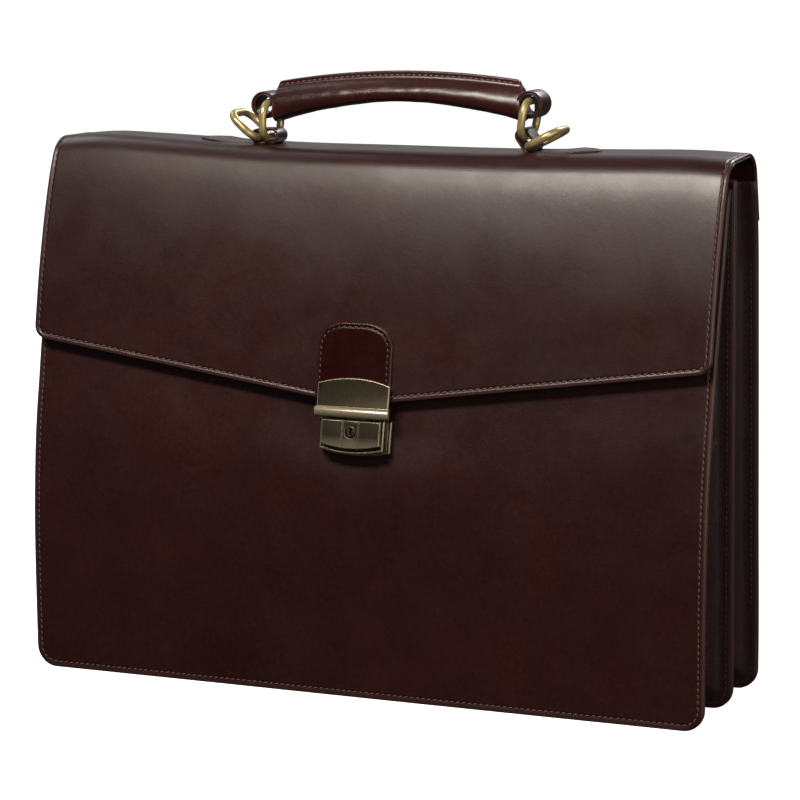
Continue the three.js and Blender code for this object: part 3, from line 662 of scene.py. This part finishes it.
def bent_path(corners, radii, steps):
    """Points, outward directions and distances along a line in (y, z) with rounded bends."""
    headings = [(b - a) / np.linalg.norm(b - a) for a, b in zip(corners, corners[1:])]
    points, outward = [corners[0]], [np.array((-headings[0][1], headings[0][0]))]
    for before, corner, after, radius in zip(headings, corners[1:], headings[1:], radii):
        turn = math.acos(before @ after)
        side = np.array((-before[1], before[0]))
        start = corner - before * radius * math.tan(turn / 2)
        for angle in np.linspace(0, turn, steps):
            spoke = np.array(
                (
                    side[0] * math.cos(angle) + side[1] * math.sin(angle),
                    -side[0] * math.sin(angle) + side[1] * math.cos(angle),
                )
            )
            points.append(start - side * radius + spoke * radius)
            outward.append(spoke)
    points.append(corners[-1])
    outward.append(np.array((-headings[-1][1], headings[-1][0])))
    points = np.array(points)
    lengths = np.linalg.norm(np.diff(points, axis=0), axis=1)
    return points, np.array(outward), np.concatenate(([0], np.cumsum(lengths)))


flap_points, flap_outward, flap_reach = bent_path(FLAP_SIDE_VIEW, FLAP_BENDS, FLAP_BEND_STEPS)
FLAP_LENGTH = flap_reach[-1]
front_bend_start, front_bend_end = flap_reach[2 * FLAP_BEND_STEPS + 1], flap_reach[3 * FLAP_BEND_STEPS]
back_bend_start, back_bend_end = flap_reach[3 * FLAP_BEND_STEPS + 1], flap_reach[4 * FLAP_BEND_STEPS]


def top_lift(x, to_back):
    """Lift of the flap's top, at a share of the way from its front bend to its back bend."""
    front = on_curve(FLAP_TOP_X, FLAP_FRONT_LIFT, x) * (1 - to_back)
    return on_curve(FLAP_TOP_X, FLAP_TOP_LIFT, x) + front


def lay_over(piece, outer):
    """Bends what was cut or sewn flat, with its point at z 0, over the top of the case."""
    flat = points_of(piece)
    along = flat[:, 2]
    pared = 1 - FLAP_PARED * smooth_step(along, back_bend_start, back_bend_end)
    inwards = (flat[:, 1] + outer) * pared
    y, z, out_y, out_z = (
        np.interp(along, flap_reach, values)
        for values in (*flap_points.T, *flap_outward.T)
    )
    on_top = smooth_step(along, front_bend_start - FLAP_FADE, front_bend_end)
    on_top *= 1 - smooth_step(along, back_bend_start, FLAP_LENGTH)
    to_back = np.clip((along - front_bend_end) / (back_bend_start - front_bend_end), 0, 1)
    lift = top_lift(flat[:, 0], to_back) * on_top
    set_points(piece, np.stack((flat[:, 0], y - inwards * out_y, z - inwards * out_z + lift), 1))


flap_corners = [
    (-FLAP_HALF_WIDTH, FLAP_LENGTH),
    (-FLAP_HALF_WIDTH, FLAP_RISE_LEFT),
    (0, 0),
    (FLAP_HALF_WIDTH, FLAP_RISE_RIGHT),
    (FLAP_HALF_WIDTH, FLAP_LENGTH),
]
flap_radii = [0, FLAP_CORNER, FLAP_TIP_ROUNDING, FLAP_CORNER, 0]
flap = cut_out("flap_leather", rounded_outline(flap_corners, flap_radii))
turn_edges(flap, FLAP_LAYER, FLAP_STITCH_INSET, bead=FLAP_BEAD)
for start, end in ((front_bend_start, front_bend_end), (back_bend_start, back_bend_end)):
    slice_across((0, 0, 1), np.arange(start, end, FLAP_BEND_ROW))
slice_across((0, 0, 1), np.arange(FLAP_FACE_ROW, front_bend_start, FLAP_FACE_ROW))
slice_across((0, 0, 1), np.arange(front_bend_end, back_bend_start, FLAP_FACE_ROW))
slice_across((0, 0, 1), np.arange(back_bend_end + FLAP_FACE_ROW, FLAP_LENGTH, FLAP_FACE_ROW))
slice_across((1, 0, 0), np.arange(-FLAP_HALF_WIDTH + FLAP_COLUMN, FLAP_HALF_WIDTH, FLAP_COLUMN))
line_both_sides(flap)
mark_edge(flap, flap_corners, *FLAP_WORN)
flap_rim_stitches = sew(
    "flap_stitches", rounded_outline(flap_corners, flap_radii, FLAP_STITCH_INSET), -FLAP_LAYER,
    FLAP_STITCH_PITCH, RIM_STITCH_LENGTH, RIM_STITCH_WIDTH, BROWN_THREAD, slant=RIM_STITCH_SLANT,
)
back_row = FLAP_LENGTH - FLAP_STITCH_INSET
back_line = np.array([(FLAP_HALF_WIDTH, back_row), (-FLAP_HALF_WIDTH, back_row)])
flap_back_stitches = sew(
    "flap_back_stitches", back_line, -FLAP_LAYER, FLAP_STITCH_PITCH, BACK_STITCH_LENGTH,
    BACK_STITCH_WIDTH, BROWN_THREAD,
)
for piece in (flap, flap_rim_stitches, flap_back_stitches):
    lay_over(piece, FLAP_LAYER)
    waver(piece, *FLAP_WAVER)
    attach(piece, "case")
flap.data.materials.append(CASE_BROWN)
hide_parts("flap")


# Lock tab: a small round-topped patch of redder leather, sewn on the flap above the lock to
# back the hasp.
TAB_LAYER = 0.95 * mm
TAB_HALF_WIDTH = 22 * mm
TAB_MIDDLE = -1.6 * mm
TAB_LOW, TAB_HIGH = 3 * mm, 45.2 * mm
TAB_STITCH_INSET = 2.4 * mm
TAB_STITCH_PITCH, TAB_STITCH_LENGTH, TAB_STITCH_WIDTH = 3.3 * mm, 2.1 * mm, 0.65 * mm
TAB_BEAD, TAB_CHANNEL = 0.15 * mm, 0.25 * mm
TAB_WORN = (0.2 * mm, 1.8 * mm)
TAB_OFF_FLAP = 0.1 * mm
TAB_ROWS = np.arange(6 * mm, TAB_HIGH, 4 * mm)
TAB_COLUMNS = np.arange(-18 * mm, 20 * mm, 4 * mm)
# The corners of its round top, in from the side and down from the top, and all its roundings
TAB_SHOULDER = mm * np.array([(0, 10.6), (4, 3.4), (13, 0)])
TAB_ROUNDING = np.array([0, 10, 10, 20, 20, 10, 10, 0]) * mm
TAB_RED = leather("tab_leather", (0.011, 0.0013, 0.0011), (0.018, 0.0018, 0.0015),
                  (0.034, 0.014, 0.012), 0.26, shine=0.4)
TAB_THREAD = waxed_thread("tab_thread", (0.085, 0.051, 0.045))

tab_side = [(TAB_HALF_WIDTH, TAB_LOW)]
tab_side += [(TAB_HALF_WIDTH - inward, TAB_HIGH - down) for inward, down in TAB_SHOULDER]
tab_corners = [(TAB_MIDDLE + x, z) for x, z in tab_side]
tab_corners += [(TAB_MIDDLE - x, z) for x, z in reversed(tab_side)]
tab = cut_out("lock_tab_leather", rounded_outline(tab_corners, TAB_ROUNDING, steps=6))
turn_edges(tab, TAB_LAYER, TAB_STITCH_INSET, bead=TAB_BEAD, channel=TAB_CHANNEL)
slice_across((0, 0, 1), TAB_ROWS)
slice_across((1, 0, 0), TAB_COLUMNS)
line_both_sides(tab)
mark_edge(tab, tab_corners, *TAB_WORN)
tab_stitches = sew(
    "lock_tab_stitches", rounded_outline(tab_corners, TAB_ROUNDING, TAB_STITCH_INSET), -TAB_LAYER,
    TAB_STITCH_PITCH, TAB_STITCH_LENGTH, TAB_STITCH_WIDTH, TAB_THREAD,
)
for piece in (tab, tab_stitches):
    lay_over(piece, -TAB_LAYER - TAB_OFF_FLAP)
    waver(piece, *FLAP_WAVER)
    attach(piece, "case")
tab.data.materials.append(TAB_RED)
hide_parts("lock_tab")


# Lock: a stepped brass case riveted to the front leaf, a sprung slider with a key plug in it, and
# the hasp on the flap, a brushed plate with a half-round bar. All are plated to look antique.
def brass(name, bright, dark, rough, brushed, satin=0.0, painted_reflection=None):
    """Antique brass: bright metal under a dark patina, brushed up and down or dulled to satin.

    A painted reflection makes it lighter towards the bottom, between two heights, in place of the bright
    floor shining up into it.
    """
    finish, tree, metal, place = new_finish(name)
    link = tree.links.new
    metal.inputs["Metallic"].default_value = 1 - satin

    stretch = node(tree, "ShaderNodeMapping")
    stretch.inputs["Scale"].default_value = (1, 1, 0.03) if brushed else (1, 1, 1)
    brushing = node(tree, "ShaderNodeTexNoise", scale=2600, detail=3, roughness=0.6)
    patina = node(tree, "ShaderNodeTexNoise", scale=190, detail=5, roughness=0.7)
    link(place, stretch.inputs["Vector"])
    link(stretch.outputs["Vector"], brushing.inputs["Vector"])
    link(place, patina.inputs["Vector"])
    both = node(tree, "ShaderNodeMath", operation="MULTIPLY_ADD")
    both.inputs[1].default_value = 0.45
    link(brushing.outputs["Fac"], both.inputs[0])
    link(patina.outputs["Fac"], both.inputs[2])
    spread = node(tree, "ShaderNodeMapRange", from_min=0.5, from_max=0.95)
    tone = node(tree, "ShaderNodeMix", data_type="RGBA")
    tone.inputs["A"].default_value = (*dark, 1)
    tone.inputs["B"].default_value = (*bright, 1)
    link(both.outputs["Value"], spread.inputs["Value"])
    link(spread.outputs["Result"], tone.inputs["Factor"])
    link(tone.outputs["Result"], metal.inputs["Base Color"])
    # Painted reflection: the colour turns lighter towards the bottom between two heights, standing in for
    # the floor seen in the metal.
    if painted_reflection:
        reflection_from, reflection_to, reflected_colour = painted_reflection
        parts = node(tree, "ShaderNodeSeparateXYZ")
        height = node(tree, "ShaderNodeMapRange", from_min=reflection_from, from_max=reflection_to)
        painted_reflection_mix = node(tree, "ShaderNodeMix", data_type="RGBA")
        painted_reflection_mix.inputs["B"].default_value = (*reflected_colour, 1)
        link(place, parts.inputs["Vector"])
        link(parts.outputs["Z"], height.inputs["Value"])
        link(height.outputs["Result"], painted_reflection_mix.inputs["Factor"])
        link(tone.outputs["Result"], painted_reflection_mix.inputs["A"])
        link(painted_reflection_mix.outputs["Result"], metal.inputs["Base Color"])

    rough_range = node(tree, "ShaderNodeMapRange", to_min=rough + 0.1, to_max=rough - 0.06)
    link(patina.outputs["Fac"], rough_range.inputs["Value"])
    link(rough_range.outputs["Result"], metal.inputs["Roughness"])
    scratch = node(tree, "ShaderNodeBump", strength=0.22 if brushed else 0.08, distance=0.15 * mm)
    link(brushing.outputs["Fac"], scratch.inputs["Height"])
    link(scratch.outputs["Normal"], metal.inputs["Normal"])
    return finish


BRUSHED_BRASS = brass("brushed_brass", (0.125, 0.105, 0.066), (0.070, 0.058, 0.037), 0.24, True)
CASE_BRASS = brass("case_brass", (0.20, 0.17, 0.112), (0.10, 0.084, 0.056), 0.28, False)
BAR_BRASS = brass("bar_brass", (0.42, 0.37, 0.255), (0.28, 0.24, 0.16), 0.30, False, satin=0.4)
# The slider is painted lighter towards its lower edge: a painted reflection of the floor below.
SLIDER_BRASS = brass(
    "slider_brass", (0.058, 0.050, 0.033), (0.038, 0.032, 0.021), 0.28, True, satin=0.4,
    painted_reflection=(148.5 * mm, 139.5 * mm, (0.36, 0.31, 0.205)),
)
PLUG_BRASS = brass("plug_brass", (0.10, 0.085, 0.056), (0.045, 0.038, 0.025), 0.3, False)
EDGE_BRASS = brass("edge_brass", (0.38, 0.33, 0.225), (0.25, 0.215, 0.145), 0.32, False, satin=0.5)
# The bar lies this far below the hasp's top edge, along the front
HASP_BAR_DROP = 15.9 * mm
LOCK_UP = np.array((0, 0.194234, 0.980955))
LOCK_EDGE = 0.28 * mm
# Angles between faces: flat below the first, shaded smooth below the next, bevelled above the last
LOCK_FLAT, LOCK_SMOOTH, LOCK_SHARP = math.radians(2), math.radians(32), math.radians(38)
# Places of the finishes on a piece, after the first
EDGE_FINISH, BAR_FINISH = 1, 2

for lock_name, body, slot_name, finish, edges in (
    ("lock_case", "case", "dark_brass", CASE_BRASS, EDGE_BRASS),
    ("hasp_plate", "case", "antique_brass", BRUSHED_BRASS, EDGE_BRASS),
    ("lock_slider", "lock_slider", "antique_brass", SLIDER_BRASS, EDGE_BRASS),
    ("lock_cylinder", "lock_cylinder", "antique_brass", PLUG_BRASS, PLUG_BRASS),
):
    metal_piece = copy_of(lock_name, lock_name + "_brass")
    edit_all()
    bpy.ops.mesh.dissolve_limited(angle_limit=LOCK_FLAT)
    bpy.ops.object.mode_set(mode="OBJECT")
    metal_piece.data.materials.append(finish)
    metal_piece.data.materials.append(edges)
    apply_modifier(
        metal_piece, "BEVEL", width=LOCK_EDGE, segments=3, limit_method="ANGLE",
        angle_limit=LOCK_SHARP, use_clamp_overlap=True, material=EDGE_FINISH,
    )
    bpy.ops.object.shade_smooth_by_angle(angle=LOCK_SMOOTH)
    if lock_name == "hasp_plate":
        metal_piece.data.materials.append(BAR_BRASS)
        hasp_top = (points_of(metal_piece) @ LOCK_UP).max()
        for face in metal_piece.data.polygons:
            if hasp_top - np.array(face.center) @ LOCK_UP > HASP_BAR_DROP:
                face.material_index = BAR_FINISH
    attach(metal_piece, body)
    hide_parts(lock_name)


# Chapes: a strap folded round the lower bars of two rings into a loop, its ends laid together and
# sewn to the flap's top as a pointed base.
CHAPE_MIDDLE = 11.627 * mm
CHAPE_LAYER = 0.6 * mm
CHAPE_SUNK = 0.3 * mm
# The base is pressed down under the rings, and comes up again between two distances along x
CHAPE_PRESSED = 0.85 * mm
CHAPE_PRESSED_UNTIL = (96 * mm, 108 * mm)
CHAPE_STITCH_INSET = 2 * mm
CHAPE_STITCH_PITCH, CHAPE_STITCH_LENGTH, CHAPE_STITCH_WIDTH = 3.2 * mm, 2.3 * mm, 0.7 * mm
CHAPE_BEAD, CHAPE_CHANNEL = 0.1 * mm, 0.2 * mm
CHAPE_WORN = (0.2 * mm, 1.4 * mm)
CHAPE_COLUMNS = np.arange(84 * mm, 119 * mm, 4 * mm)
CHAPE_LOOP_MIDDLE = 3.7 * mm
CHAPE_LOOP_WALL = 1.2 * mm
CHAPE_LOOP_WIDTH = 13.4 * mm
CHAPE_LOOP_ROUNDING = 0.4 * mm
CHAPE_LOOP_STEPS = 14
# A strap's cut edge begins at this share of its width from its middle
CUT_EDGE = 0.49
# Half the width of the base at each distance from the middle of the case, rounded where it is wide
CHAPE_BASE_X = np.array([79.8, 88, 96, 107, 113, 117.5, 119.6]) * mm
CHAPE_BASE_HALF = np.array([7.7, 8.6, 11, 11, 8.4, 4.6, 1.2]) * mm
CHAPE_WIDE, CHAPE_ROUNDING = 10 * mm, 6 * mm
# The two centres of each loop, as (x, z), the one next to the middle of the case first
CHAPE_LOOPS = {
    "chape_left": (-1, np.array((-73.6, 304.7)) * mm, np.array((-82.1, 304.5)) * mm),
    "chape_right": (1, np.array((76.2, 309.6)) * mm, np.array((79.9, 304.5)) * mm),
}
FLAP_FRONT_BEND, FLAP_BACK_BEND = FLAP_SIDE_VIEW[3:5]
FLAP_TOP_SLOPE = (FLAP_BACK_BEND[1] - FLAP_FRONT_BEND[1]) / (FLAP_BACK_BEND[0] - FLAP_FRONT_BEND[0])


def flap_top(x, y):
    """Height of the flap's top under a point."""
    level = FLAP_FRONT_BEND[1] + FLAP_TOP_SLOPE * (y - FLAP_FRONT_BEND[0])
    front_y, back_y = flap_points[3 * FLAP_BEND_STEPS : 3 * FLAP_BEND_STEPS + 2, 0]
    return level + top_lift(x, np.clip((y - front_y) / (back_y - front_y), 0, 1))


def apply_place():
    """Moves the selected piece's place, turn and scale into its mesh."""
    bpy.ops.object.transform_apply(location=True, rotation=True, scale=True)


def start_profile(name, thickness, width, rounding):
    """In edit mode, the rounded section of a strap in the yz plane, ready to be carried along x."""
    bpy.ops.object.select_all(action="DESELECT")
    bpy.ops.mesh.primitive_plane_add(size=1, rotation=(0, math.pi / 2, 0))
    piece = bpy.context.object
    piece.name = name
    piece.scale = (thickness, width, 1)
    apply_place()
    edit_all()
    bpy.ops.mesh.bevel(offset=rounding, segments=3, affect="VERTICES")
    bpy.ops.mesh.delete(type="ONLY_FACE")
    bpy.ops.mesh.select_all(action="SELECT")
    return piece


def carry_round(centre, axis, angle, steps):
    """Spins the selected section on. The operator turns against the right-hand rule."""
    bpy.ops.mesh.spin(steps=steps, angle=-angle, center=centre, axis=axis)


def close_up(piece):
    """Merges the last ring of a bent strap or wire with the first, and leaves edit mode."""
    bpy.ops.mesh.select_all(action="SELECT")
    bpy.ops.mesh.remove_doubles(threshold=MERGE_DISTANCE)
    bpy.ops.mesh.normals_make_consistent(inside=False)
    bpy.ops.object.mode_set(mode="OBJECT")
    bpy.ops.object.shade_smooth_by_angle(angle=SMOOTH_BELOW)


def place_at(piece, location, turn):
    """Turns a finished piece about y and sets it down, with its place kept in its mesh."""
    only(piece)
    piece.rotation_euler = (0, turn, 0)
    piece.location = location
    apply_place()


STRAP_BROWN = leather("strap_leather", (0.022, 0.0060, 0.0055), (0.032, 0.0074, 0.0064),
                      (0.026, 0.0085, 0.0075), 0.38)

for chape_name, (hand, inner, outer) in CHAPE_LOOPS.items():
    tongue = [(hand * x, -half) for x, half in zip(CHAPE_BASE_X, CHAPE_BASE_HALF)]
    tongue += [(x, -z) for x, z in reversed(tongue)]
    tongue = tongue if hand > 0 else tongue[::-1]
    rounded = [CHAPE_ROUNDING if abs(z) > CHAPE_WIDE else 0 for x, z in tongue]
    base = cut_out(chape_name + "_base", rounded_outline(tongue, rounded, steps=5))
    turn_edges(base, CHAPE_LAYER, CHAPE_STITCH_INSET, bead=CHAPE_BEAD, channel=CHAPE_CHANNEL)
    slice_across((1, 0, 0), hand * CHAPE_COLUMNS)
    line_both_sides(base)
    mark_edge(base, tongue, *CHAPE_WORN)
    line = rounded_outline(tongue, rounded, CHAPE_STITCH_INSET)
    chape_stitches = sew(
        chape_name + "_stitches", line, -CHAPE_LAYER, CHAPE_STITCH_PITCH, CHAPE_STITCH_LENGTH,
        CHAPE_STITCH_WIDTH, BROWN_THREAD,
    )
    for piece in (base, chape_stitches):
        flat = points_of(piece)
        y = CHAPE_MIDDLE + flat[:, 2]
        pressed = CHAPE_PRESSED * (1 - smooth_step(np.abs(flat[:, 0]), *CHAPE_PRESSED_UNTIL))
        z = flap_top(flat[:, 0], y) + CHAPE_LAYER - CHAPE_SUNK - pressed - flat[:, 1]
        set_points(piece, np.stack((flat[:, 0], y, z), 1))
    run = outer - inner
    run_length = np.linalg.norm(run)
    loop = start_profile(chape_name + "_loop", CHAPE_LOOP_WALL, CHAPE_LOOP_WIDTH, CHAPE_LOOP_ROUNDING)
    bpy.ops.transform.translate(value=(0, 0, CHAPE_LOOP_MIDDLE))
    for straight, turning_point in ((run_length, run_length), (-run_length, 0)):
        bpy.ops.mesh.extrude_region_move(TRANSFORM_OT_translate={"value": (straight, 0, 0)})
        carry_round((turning_point, 0, 0), (0, 1, 0), math.pi, CHAPE_LOOP_STEPS)
    close_up(loop)
    set_edge(loop, np.abs(points_of(loop)[:, 1]) > CUT_EDGE * CHAPE_LOOP_WIDTH)
    place_at(loop, (inner[0], CHAPE_MIDDLE, inner[1]), -math.atan2(run[1], run[0]))
    for piece in (base, loop):
        piece.data.materials.append(STRAP_BROWN)
        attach(piece, "case")
    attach(chape_stitches, "case")
    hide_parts(chape_name)


# Rings: round brass wire bent to a rectangle with round corners. Two stand up and carry the
# handle; two lie outwards for the hooks of a shoulder strap.
WIRE_RADIUS = 2.2 * mm
WIRE_SIDES = 20
RING_HALF_WIDTH = 12.3 * mm
RING_LENGTH = 19.5 * mm
RING_CORNER = 7.5 * mm
RING_STEPS = 10
RING_BRASS = brass("ring_brass", (0.66, 0.53, 0.26), (0.30, 0.23, 0.10), 0.30, False, satin=0.4)
# Where each ring's lower bar lies, as x and z, and how far the ring leans towards +x, in degrees
RINGS = {
    "handle_ring_left": (-76.7 * mm, 303.8 * mm, 2.5),
    "handle_ring_right": (76.7 * mm, 309.3 * mm, 9),
    "strap_ring_left": (-82.1 * mm, 303.8 * mm, -48),
    "strap_ring_right": (79.9 * mm, 303.8 * mm, 62),
}

for ring_name, (x, z, lean) in RINGS.items():
    across = RING_HALF_WIDTH - RING_CORNER
    rise = RING_LENGTH - RING_CORNER
    bpy.ops.object.select_all(action="DESELECT")
    bpy.ops.mesh.primitive_circle_add(
        vertices=WIRE_SIDES, radius=WIRE_RADIUS, location=(0, -across, 0), rotation=(math.pi / 2, 0, 0)
    )
    ring = bpy.context.object
    ring.name = ring_name + "_wire"
    apply_place()
    edit_all()
    for straight, corner in (
        ((0, 2 * across, 0), (0, across, RING_CORNER)),
        ((0, 0, rise - RING_CORNER), (0, across, rise)),
        ((0, -2 * across, 0), (0, -across, rise)),
        ((0, 0, RING_CORNER - rise), (0, -across, RING_CORNER)),
    ):
        bpy.ops.mesh.extrude_region_move(TRANSFORM_OT_translate={"value": straight})
        carry_round(corner, (1, 0, 0), math.pi / 2, RING_STEPS)
    close_up(ring)
    place_at(ring, (x, CHAPE_MIDDLE, z), math.radians(lean))
    ring.data.materials.append(RING_BRASS)
    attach(ring, ring_name)
    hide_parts(ring_name)


# Handle strap: the core of the handle, folded round a ring at each end, so that each eye shows
# two layers of leather with their cut edges to the front and back.
HANDLE_PLACE = Vector((1.4 * mm, CHAPE_MIDDLE, 324.4 * mm))
HANDLE_TILT = math.radians(1.68)
EYE_X = 79.2 * mm
EYE_LAYERS = (5.85 * mm, 7.1 * mm)
EYE_LAYER_WALL = 1.15 * mm
EYE_WIDTH = 15.4 * mm
EYE_ROUNDING = 0.35 * mm
EYE_STEPS = 48
CORE_HALF_LENGTH = 73 * mm
CORE_THICKNESS = 5.2 * mm
CORE_WIDTH = 11 * mm
CORE_ROUNDING = 1 * mm
CORE_COLUMNS = np.arange(-70 * mm, 75 * mm, 7 * mm)
GRIP_HALF_LENGTH = 74 * mm
# The grip at its middle and ends: centre above the eyes, half height and half width
GRIP_MIDDLE = {"centre": 7.25 * mm, "rise": 6.35 * mm, "half": 9 * mm}
GRIP_END = {"centre": -0.9 * mm, "rise": 9.1 * mm, "half": 8.8 * mm}


def along_grip(key, x):
    """The grip's centre, half height or half width at a distance along it."""
    arch = 1 - (x / GRIP_HALF_LENGTH) ** 2
    return GRIP_END[key] + (GRIP_MIDDLE[key] - GRIP_END[key]) * arch


bpy.ops.object.select_all(action="DESELECT")
bpy.ops.mesh.primitive_cube_add(size=1)
core = bpy.context.object
core.name = "handle_strap_leather"
core.scale = (2 * CORE_HALF_LENGTH, CORE_WIDTH, CORE_THICKNESS)
apply_place()
edit_all()
bpy.ops.mesh.bevel(offset=CORE_ROUNDING, segments=3)
slice_across((1, 0, 0), CORE_COLUMNS)
bpy.ops.object.mode_set(mode="OBJECT")
spots = points_of(core)
spots[:, 2] += along_grip("centre", spots[:, 0])
set_points(core, spots)
set_edge(core, np.zeros(len(spots)))

eyes = []
for hand in (-1, 1):
    for radius in EYE_LAYERS:
        eye = start_profile("eye", EYE_LAYER_WALL, EYE_WIDTH, EYE_ROUNDING)
        bpy.ops.transform.translate(value=(0, 0, radius))
        carry_round((0, 0, 0), (0, 1, 0), 2 * math.pi, EYE_STEPS)
        close_up(eye)
        set_edge(eye, np.abs(points_of(eye)[:, 1]) > CUT_EDGE * EYE_WIDTH)
        place_at(eye, (hand * EYE_X, 0, 0), 0)
        eyes.append(eye)
only(core)
for eye in eyes:
    eye.select_set(True)
bpy.ops.object.join()
core.data.materials.append(STRAP_BROWN)
place_at(core, HANDLE_PLACE, -HANDLE_TILT)
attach(core, "handle")
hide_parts("handle_strap")


# Grip: leather wrapped round a padded core, its two edges brought together on top and sewn as a
# fin. Both ends are open round the eyes of the strap.

# Half of its section, as (y, z), from the fin's top round to the underside
GRIP_SECTION = mm * np.array(
    [
        (0, 11.35), (1.5, 11.3), (1.75, 10.5), (1.8, 9.3), (1.95, 8.2), (2.5, 7.1), (3.7, 6), (5.2, 4.8),
        (6.8, 3.3), (8.1, 1.4), (8.9, -0.6), (8.7, -2.6), (7.4, -4.6), (4.6, -5.9), (0, -6.35),
    ]
)
FIN_HALF_THICKNESS = 1.8 * mm
FIN_HEIGHT = 5 * mm
FIN_STITCH_DROP = 2.4 * mm
FIN_STITCH_PITCH, FIN_STITCH_LENGTH, FIN_STITCH_WIDTH = 3.4 * mm, 2.4 * mm, 0.9 * mm
GRIP_ROWS = np.arange(-72 * mm, 74 * mm, 4 * mm)
GRIP_SMOOTH = math.radians(60)
# The open mouth at each end: wall, the wall's rounded part, the mouth's taper, top and depth
GRIP_WALL, GRIP_WALL_ROUNDING, GRIP_MOUTH_TAPER = 1.4 * mm, 0.5 * mm, 0.05 * mm
GRIP_MOUTH_TOP = 5 * mm
GRIP_MOUTH_DEPTH = 9 * mm
# The ends lean in above this height, so that the fin is shorter than the grip
GRIP_LEAN_FROM = 5.5 * mm
GRIP_LEAN = 0.4
# The ends are worn over this length. The leather is slack below the fin, in folds of a size and
# depth, which give way to smaller ones near the ends
GRIP_WORN = 1.6 * mm
GRIP_SLACK_FROM = 0.4
GRIP_NEAR_END = 0.75
GRIP_FOLDS, GRIP_FOLDS_LOST = (26 * mm, 1.5 * mm), 0.7
GRIP_END_FOLDS = (6 * mm, 0.5 * mm)
GRIP_RED = leather("grip_leather", (0.023, 0.0052, 0.0046), (0.034, 0.0070, 0.0058),
                   (0.08, 0.028, 0.023), 0.27, grain=0.9, shine=0.75)
GRIP_THREAD = waxed_thread("grip_thread", (0.17, 0.105, 0.092))

grip_outline = np.concatenate((GRIP_SECTION, GRIP_SECTION[-2:0:-1] * (-1, 1)))
grip = cut_out("handle_grip_leather", grip_outline)
bpy.ops.mesh.select_all(action="SELECT")
bpy.ops.transform.translate(value=(0, -GRIP_HALF_LENGTH, 0))
bpy.ops.mesh.extrude_region_move(TRANSFORM_OT_translate={"value": (0, 2 * GRIP_HALF_LENGTH, 0)})
bpy.ops.mesh.select_all(action="SELECT")
bpy.ops.mesh.normals_make_consistent(inside=False)
slice_across((0, 0, 1), [GRIP_MOUTH_TOP])
pick(grip, "FACE", lambda f: abs(f.normal.y) > 0.9 and f.calc_center_median().z < GRIP_MOUTH_TOP)
bpy.ops.mesh.inset(thickness=GRIP_WALL_ROUNDING)
bpy.ops.mesh.inset(thickness=GRIP_WALL - GRIP_WALL_ROUNDING)
bpy.ops.mesh.inset(thickness=GRIP_MOUTH_TAPER, depth=-GRIP_MOUTH_DEPTH)
slice_across((0, 1, 0), GRIP_ROWS)
bpy.ops.object.mode_set(mode="OBJECT")
grip.rotation_euler = (0, 0, math.pi / 2)
apply_place()
apply_modifier(grip, "SUBSURF", levels=2, render_levels=2)
bpy.ops.object.shade_smooth_by_angle(angle=GRIP_SMOOTH)


def arch_over(piece):
    """Bows what was made straight to the arch of the grip, taller at its ends."""
    straight = points_of(piece)
    x, y, z = straight.T
    above = np.clip(z - GRIP_MIDDLE["rise"], 0, None)
    body = np.minimum(z, GRIP_MIDDLE["rise"])
    lean = GRIP_LEAN * np.clip(z - GRIP_LEAN_FROM, 0, None)
    leaned = x * (1 - lean / GRIP_HALF_LENGTH)
    bowed = along_grip("centre", x) + body * along_grip("rise", x) / GRIP_MIDDLE["rise"] + above
    narrowed = along_grip("half", x) / GRIP_MIDDLE["half"]
    wide = y * (narrowed + (1 - narrowed) * smooth_step(z, 0, GRIP_MIDDLE["rise"]))
    set_points(piece, np.stack((leaned, wide, bowed), 1))


fin_stitch_height = GRIP_MIDDLE["rise"] + FIN_HEIGHT - FIN_STITCH_DROP
fin_line = np.array([(-GRIP_HALF_LENGTH, fin_stitch_height), (GRIP_HALF_LENGTH, fin_stitch_height)])
fin_stitches = []
for side, turn in (("front", 0), ("back", math.pi)):
    row = sew(
        f"handle_grip_{side}_stitches", fin_line, -FIN_HALF_THICKNESS, FIN_STITCH_PITCH,
        FIN_STITCH_LENGTH, FIN_STITCH_WIDTH, GRIP_THREAD,
    )
    row.rotation_euler = (0, 0, turn)
    apply_place()
    fin_stitches.append(row)
grip.data.materials.append(GRIP_RED)
spots = points_of(grip)
from_middle = np.abs(spots[:, 0])
set_edge(grip, smooth_step(from_middle, GRIP_HALF_LENGTH - GRIP_WORN, GRIP_HALF_LENGTH))
fin_foot = GRIP_MIDDLE["rise"]
body_only = 1 - smooth_step(spots[:, 2], GRIP_SLACK_FROM * fin_foot, fin_foot)
near_ends = smooth_step(from_middle, GRIP_NEAR_END * GRIP_HALF_LENGTH, GRIP_HALF_LENGTH)
crumple(grip, *GRIP_FOLDS, body_only * (1 - GRIP_FOLDS_LOST * near_ends))
crumple(grip, *GRIP_END_FOLDS, body_only * near_ends)
for piece in (grip, *fin_stitches):
    arch_over(piece)
    place_at(piece, HANDLE_PLACE, -HANDLE_TILT)
    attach(piece, "handle")
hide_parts("handle_grip")
